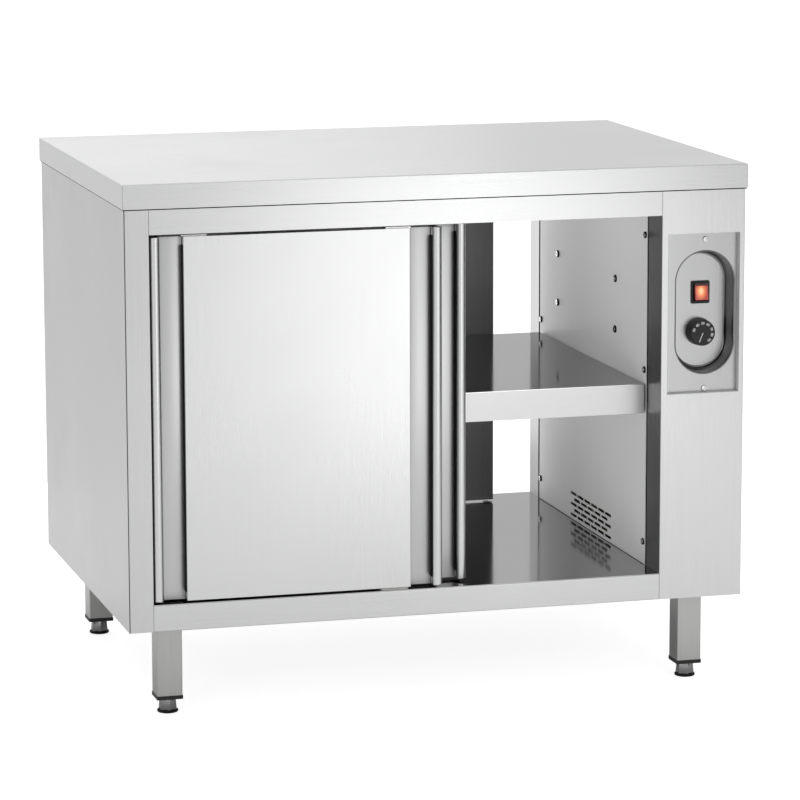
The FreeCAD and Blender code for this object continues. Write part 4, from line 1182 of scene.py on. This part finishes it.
@dataclass
class DialMarks:
    """White numerals and pointer line printed on the knob's face."""

    workshop: Workshop
    numerals: tuple = ("30", "40", "50", "60", "70", "80", "90")
    first_angle: float = 161.0
    step_angle: float = -34.7
    ring_radius: float = 0.0154
    numeral_height: float = 0.0041
    letter_scale: float = 1.38
    boldness: float = 0.03
    pointer_angle: float = -112.0
    pointer_length: float = 0.0156
    pointer_width: float = 0.0013
    paint: float = 0.00008

    def numeral(self, form: Shape, words: str, angle: float) -> None:
        """Adds one numeral, upright to the knob's middle.

        Args:
            form: the shape it is added to, with the knob's face in the XY plane.
            words: the numeral.
            angle: its place round the dial in degrees, anticlockwise from three o'clock.
        """
        curve = bpy.data.curves.new("numeral", "FONT")
        curve.body = words
        curve.size = self.numeral_height * self.letter_scale
        curve.align_x = curve.align_y = "CENTER"
        curve.extrude = self.paint
        curve.offset = self.numeral_height * self.boldness
        carrier = bpy.data.objects.new("numeral", curve)
        bpy.context.scene.collection.objects.link(carrier)
        bpy.context.view_layer.update()
        mesh = bpy.data.meshes.new_from_object(carrier.evaluated_get(bpy.context.evaluated_depsgraph_get()))
        before = set(form.verts)
        form.from_mesh(mesh)
        fresh = [vert for vert in form.verts if vert not in before]
        turn = math.radians(angle)
        out = Vector((math.cos(turn), math.sin(turn), 0.0)) * self.ring_radius
        moved(form, fresh, Matrix.Translation(out) @ Matrix.Rotation(turn - QUARTER, 4, "Z"))
        bpy.data.objects.remove(carrier)
        bpy.data.curves.remove(curve)
        bpy.data.meshes.remove(mesh)

    def pointer(self, form: Shape) -> None:
        """Adds the pointer line, from the middle outwards.

        Args:
            form: the shape it is added to.
        """
        line = bmesh.ops.create_cube(form, size=1.0)["verts"]
        size = Matrix.Diagonal((self.pointer_length, self.pointer_width, self.paint * 2, 1.0))
        middle = Matrix.Translation((self.pointer_length / 2, 0.0, 0.0))
        turn = Matrix.Rotation(math.radians(self.pointer_angle), 4, "Z")
        moved(form, line, turn @ middle @ size)

    def build(self) -> None:
        """Makes the marks as one piece on the knob."""
        form = bmesh.new()
        for number, words in enumerate(self.numerals):
            self.numeral(form, words, self.first_angle + number * self.step_angle)
        self.pointer(form)
        low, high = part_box("thermostat_knob")
        face = Matrix.Translation(((low.x + high.x) / 2, low.y, (low.z + high.z) / 2))
        moved(form, form.verts[:], face @ Matrix.Rotation(QUARTER, 4, "X"))
        self.workshop.piece(
            "dial_marks", form, "dial_paint", "thermostat_knob", "black_plastic", smooth_below=20.0
        )


@dataclass
class PlateSurround:
    """Folded returns round the control plate, and the rolled wall of its oblong dish, whose dark steel is
    painted shade.

    Each point of `wall` is an inset from the dish's rim and a depth behind the plate, in millimetres.
    """

    workshop: Workshop
    play: float = 0.0003
    sheet: float = 0.0005
    front: float = 0.0002
    edge: float = 0.0001
    middle: tuple = (0.43575, 0.5995)
    radius: float = 0.0482
    straight: float = 0.04905
    steps: int = 28
    wall: tuple = (
        (-1.9, 0.05), (-1.5, -0.45), (-0.7, -0.6), (0.1, -0.2), (0.5, 0.9), (0.8, 5.0),
        (1.5, 12.0), (2.2, 19.0), (2.9, 24.5), (4.0, 27.6), (5.6, 29.2), (7.6, 29.85),
    )
    millimetre: float = 0.001

    def returns(self) -> Shape:
        """Returns four thin strips that line the cut-out in front of the plate."""
        form = bmesh.new()
        low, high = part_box("control_plate")
        x = (low.x - self.play, high.x + self.play)
        z = (low.z - self.play, high.z + self.play)
        y = (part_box("right_housing_panel")[0].y + self.front, low.y - self.front)
        for spot in (x[0], x[1] - self.sheet):
            bar(form, (spot, y[0], z[0]), (spot + self.sheet, y[1], z[1]), self.edge)
        inner = (x[0] + self.sheet, x[1] - self.sheet)
        for spot in (z[0], z[1] - self.sheet):
            bar(form, (inner[0], y[0], spot), (inner[1], y[1], spot + self.sheet), self.edge)
        return form

    def ring(self, form: Shape, inset: float, depth: float) -> list:
        """Adds one oblong ring of points.

        Args:
            form: the shape it is added to.
            inset: how far it lies inside the dish's rim.
            depth: how deep it lies behind the plate's face.

        Returns:
            The ring's points.
        """
        radius = self.radius - inset
        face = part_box("control_plate")[0].y
        points = []
        for number in range(self.steps * 2):
            turn = math.pi * (number + 0.5) / self.steps
            lift = self.straight if turn < math.pi else -self.straight
            spot = (self.middle[0] + radius * math.cos(turn), self.middle[1] + lift + radius * math.sin(turn))
            points.append(form.verts.new((spot[0], face + depth, spot[1])))
        return points

    def dish_wall(self) -> Shape:
        """Returns the rolled rim and wall of the dish."""
        form = bmesh.new()
        unit = self.millimetre
        rings = [self.ring(form, inset * unit, depth * unit) for inset, depth in self.wall]
        for near, far in zip(rings, rings[1:]):
            for number, point in enumerate(near):
                after = (number + 1) % len(near)
                form.faces.new((point, near[after], far[after], far[number]))
        return form

    def build(self) -> None:
        """Makes the returns and the wall."""
        for name, form, finish, angle in (
            ("cut_out_returns", self.returns(), "return_steel", 20.0),
            ("dish_wall", self.dish_wall(), "dish_wall_painted_shade_steel", 60.0),
        ):
            self.workshop.piece(name, form, finish, "cabinet", "satin_steel", smooth_below=angle)


@dataclass
class RockerLens:
    """Raised red lens on the rocker, lit from behind."""

    workshop: Workshop
    pivot: tuple = (0.43835, -0.301, 0.6276)
    half_width: float = 0.0107
    low: float = -0.0133
    high: float = 0.0094
    back: float = -0.0088
    front: float = -0.0126
    tilt: float = 7.0
    edge: float = 0.0009

    def build(self) -> None:
        """Makes the lens."""
        form = bmesh.new()
        side = self.half_width
        bar(form, (-side, self.front, self.low), (side, self.back, self.high), self.edge)
        place = Matrix.Translation(self.pivot) @ Matrix.Rotation(-math.radians(self.tilt), 4, "X")
        moved(form, form.verts[:], place)
        self.workshop.piece("rocker_lens", form, "lit_red_lens", "switch_rocker", "red_lens")


@dataclass
class Controls:
    """Recessed plate with the lit rocker switch and the thermostat's knob."""

    workshop: Workshop

    def dress(self) -> None:
        """Puts the finishes on the controls' nodes."""
        self.workshop.finishes.dress(
            {
                "black_plastic": ("switch_housing", "thermostat_knob", "thermostat_body"),
                "rocker_red": ("switch_rocker",),
            }
        )

    def build(self) -> None:
        """Makes the plate's surround, the rocker's lens and the marks on the knob."""
        PlateSurround(self.workshop).build()
        RockerLens(self.workshop).build()
        DialMarks(self.workshop).build()


@dataclass
class WarmAir:
    """Blower, heater and cord inlet in the right-hand housing."""

    workshop: Workshop

    def dress(self) -> None:
        """Puts the finishes on the blower's nodes."""
        self.workshop.finishes.dress(
            {
                "mill_aluminium": ("fan_impeller",),
                "galvanised_sheet": ("fan_scroll", "housing_base"),
                "motor_lacquer": ("fan_motor",),
                "heated_steel": ("heater_element",),
                "black_plastic": ("cable_gland",),
            }
        )


@dataclass(frozen=True)
class StudioItem:
    """What a lamp and a card have: a name, a place, what they face, and a size."""

    name: str
    place: tuple
    aim: tuple
    width: float
    height: float

    def put(self, item: bpy.types.Object) -> None:
        """Puts an item in its place, facing its aim and out of the camera's sight."""
        item.location = self.place
        item.rotation_mode = "QUATERNION"
        item.rotation_quaternion = (Vector(self.aim) - Vector(self.place)).to_track_quat("-Z", "Y")
        item.visible_camera = False


@dataclass(frozen=True)
class Softbox(StudioItem):
    """A large soft lamp."""

    power: float
    shape: str = "RECTANGLE"
    glossy: bool = True

    def build(self) -> None:
        """Hangs the lamp."""
        data = bpy.data.lights.new(self.name, "AREA")
        data.shape = self.shape
        data.size = self.width
        data.size_y = self.height
        data.energy = self.power
        lamp = bpy.data.objects.new(self.name, data)
        lamp.visible_glossy = self.glossy
        self.put(lamp)
        bpy.context.scene.collection.objects.link(lamp)


@dataclass(frozen=True)
class DarkCard(StudioItem):
    """A matt black card that only gloss shows, so that rounded edges get their dark lines."""

    weave: float = 300.0
    shades: tuple = (0.02, 0.04)

    def build(self) -> None:
        """Stands the card up."""
        form = bmesh.new()
        bmesh.ops.create_grid(form, x_segments=1, y_segments=1, size=0.5)
        bmesh.ops.scale(form, vec=(self.width, self.height, 1.0), verts=form.verts)
        material, wiring = new_material(self.name)
        shade = wiring.blended(wiring.noise(wiring.place(), self.weave, 2.0, 0.5), *self.shades)
        matt = wiring.node("ShaderNodeBsdfDiffuse", {"Color": shade})
        wiring.node("ShaderNodeOutputMaterial", {"Surface": matt.outputs[0]})
        card = new_object(self.name, form, material)
        self.put(card)
        card.visible_diffuse = card.visible_transmission = card.visible_shadow = False


@dataclass(frozen=True)
class Viewpoint:
    """The camera, a little to the left and above, with a long lens."""

    place: tuple = (-1.65021, -6.10226, 1.53375)
    turn: float = 0.268467
    drop: float = 0.173822
    roll: float = -0.00258
    focal_pixels: float = 3917.71
    frame_pixels: float = 800.0
    film: float = 36.0
    sight: float = 200.0

    def build(self) -> None:
        """Sets up the camera."""
        level = math.cos(self.drop)
        ahead = Vector((math.sin(self.turn) * level, math.cos(self.turn) * level, -math.sin(self.drop)))
        right = ahead.cross(Vector((0.0, 0.0, 1.0))).normalized()
        up = right.cross(ahead)
        rolled_right = right * math.cos(self.roll) + up * math.sin(self.roll)
        rolled_up = up * math.cos(self.roll) - right * math.sin(self.roll)
        data = bpy.data.cameras.new("viewpoint")
        data.sensor_fit = "HORIZONTAL"
        data.sensor_width = self.film
        data.lens = self.focal_pixels * self.film / self.frame_pixels
        data.clip_end = self.sight
        camera = bpy.data.objects.new("viewpoint", data)
        facing = Matrix((rolled_right, rolled_up, -ahead)).transposed().to_4x4()
        camera.matrix_world = Matrix.Translation(self.place) @ facing
        bpy.context.scene.collection.objects.link(camera)
        bpy.context.scene.camera = camera


@dataclass
class Studio:
    """Pale floor, white surroundings, soft lamps and the camera."""

    floor_reach: float = 30.0
    floor_sides: int = 64
    floor_shade: float = 0.8
    floor_lift: float = 0.78
    floor_gleam: float = 0.6
    # Painted shadow: the floor gleams less in reflections under the cabinet.
    painted_shadow_gleam: float = 0.04
    painted_shadow_fade: tuple = (-0.12, 0.2)
    half_span: tuple = (0.5, 0.35)
    surround: float = 0.5
    lamps: tuple = (
        Softbox("front_right_softbox", (0.68, -2.6, 0.38), (0.05, 0.0, 0.4), 0.68, 0.74, 3.1),
        Softbox("front_left_softbox", (-2.6, -3.0, 1.3), (0.0, 0.0, 0.45), 1.4, 1.4, 10.0),
        Softbox("rear_left_softbox", (-0.35, 2.4, 1.5), (-0.3, 0.0, 0.83), 2.6, 0.9, 2.4, "ELLIPSE"),
        Softbox("rear_low_softbox", (-0.05, 1.6, 0.38), (-0.05, 0.0, 0.38), 0.84, 0.7, 3.0),
        Softbox("floor_softbox", (0.55, -2.3, 1.1), (0.55, -2.3, 0.0), 0.7, 1.0, 7.0),
        Softbox("upper_inside_softbox", (-0.2, -0.04, 0.72), (0.36, -0.04, 0.76), 0.3, 0.14, 3.0, glossy=False),
        Softbox("lower_inside_softbox", (-0.2, -0.04, 0.38), (0.36, -0.04, 0.4), 0.3, 0.1, 2.6, glossy=False),
        Softbox("top_softbox", (-0.4, -0.6, 3.2), (0.0, 0.0, 0.4), 2.4, 2.0, 8.0),
    )
    cards: tuple = (
        DarkCard("right_dark_card", (2.3, -0.9, 0.6), (0.3, -0.35, 0.5), 1.2, 1.4),
        DarkCard("left_dark_card", (-2.4, -0.9, 0.5), (-0.5, -0.35, 0.5), 0.9, 1.2),
    )

    def seen(self, wiring: Wiring) -> Socket:
        """Returns one for rays that look at the surroundings, straight or in metal, and zero for the rest."""
        path = wiring.node("ShaderNodeLightPath").outputs
        direct = wiring.maths("MAXIMUM", path["Is Camera Ray"], path["Is Glossy Ray"])
        return wiring.maths("MAXIMUM", direct, path["Is Transmission Ray"])

    def surroundings(self) -> None:
        """Makes the world: white where it is seen, and softer where it only lights."""
        world = bpy.data.worlds.new("surroundings")
        world.use_nodes = True
        wiring = Wiring(world.node_tree)
        strength = wiring.ranged(self.seen(wiring), UNIT, (self.surround, 1.0))
        light = wiring.node("ShaderNodeBackground", {"Color": WHITE, "Strength": strength})
        wiring.node("ShaderNodeOutputWorld", {"Surface": light.outputs[0]})
        bpy.context.scene.world = world

    def gleam_with_painted_shadow(self, wiring: Wiring) -> Socket:
        """Returns how much a point of the floor gleams in metal: little under the cabinet, a painted shadow,
        and fully beside it.
        """
        apart = wiring.node("ShaderNodeSeparateXYZ", {"Vector": wiring.place()}).outputs
        beyond = []
        for axis, reach in zip("XY", self.half_span):
            beyond.append(wiring.maths("SUBTRACT", wiring.maths("ABSOLUTE", apart[axis]), reach))
        nearest = wiring.maths("MAXIMUM", *beyond)
        return wiring.ranged(nearest, self.painted_shadow_fade, (self.painted_shadow_gleam, self.floor_gleam))

    def floor(self) -> None:
        """Makes the pale floor, which keeps the cabinet's shadow, and in reflections a painted shadow under it.
        """
        form = bmesh.new()
        bmesh.ops.create_circle(form, cap_ends=True, segments=self.floor_sides, radius=self.floor_reach)
        material, wiring = new_material("pale_floor")
        matt = wiring.node("ShaderNodeBsdfDiffuse", {"Color": opaque(self.floor_shade)})
        path = wiring.node("ShaderNodeLightPath").outputs
        gloss = wiring.maths("MAXIMUM", path["Is Glossy Ray"], path["Is Transmission Ray"])
        direct = wiring.maths("MULTIPLY", path["Is Camera Ray"], self.floor_lift)
        lift = wiring.maths("ADD", direct, wiring.maths("MULTIPLY", gloss, self.gleam_with_painted_shadow(wiring)))
        glow = wiring.node("ShaderNodeEmission", {"Color": WHITE, "Strength": lift})
        both = wiring.node("ShaderNodeAddShader", {0: matt.outputs[0], 1: glow.outputs[0]})
        wiring.node("ShaderNodeOutputMaterial", {"Surface": both.outputs[0]})
        new_object("floor", form, material)

    def build(self) -> None:
        """Sets the studio up."""
        Viewpoint().build()
        self.surroundings()
        self.floor()
        for piece in (*self.lamps, *self.cards):
            piece.build()
        bpy.context.scene.view_settings.view_transform = "Standard"


def main() -> None:
    """Builds the studio, the finishes and each assembly in turn."""
    logging.basicConfig(level=logging.INFO, format="%(message)s")
    Studio().build()
    finishes = FinishRange()
    finishes.prepare()
    workshop = Workshop(finishes)
    for assembly in (Shell(workshop), Underframe(workshop), RunningGear(workshop), Controls(workshop)):
        assembly.dress()
        assembly.build()
    WarmAir(workshop).dress()


if __name__ == "__main__":
    main()
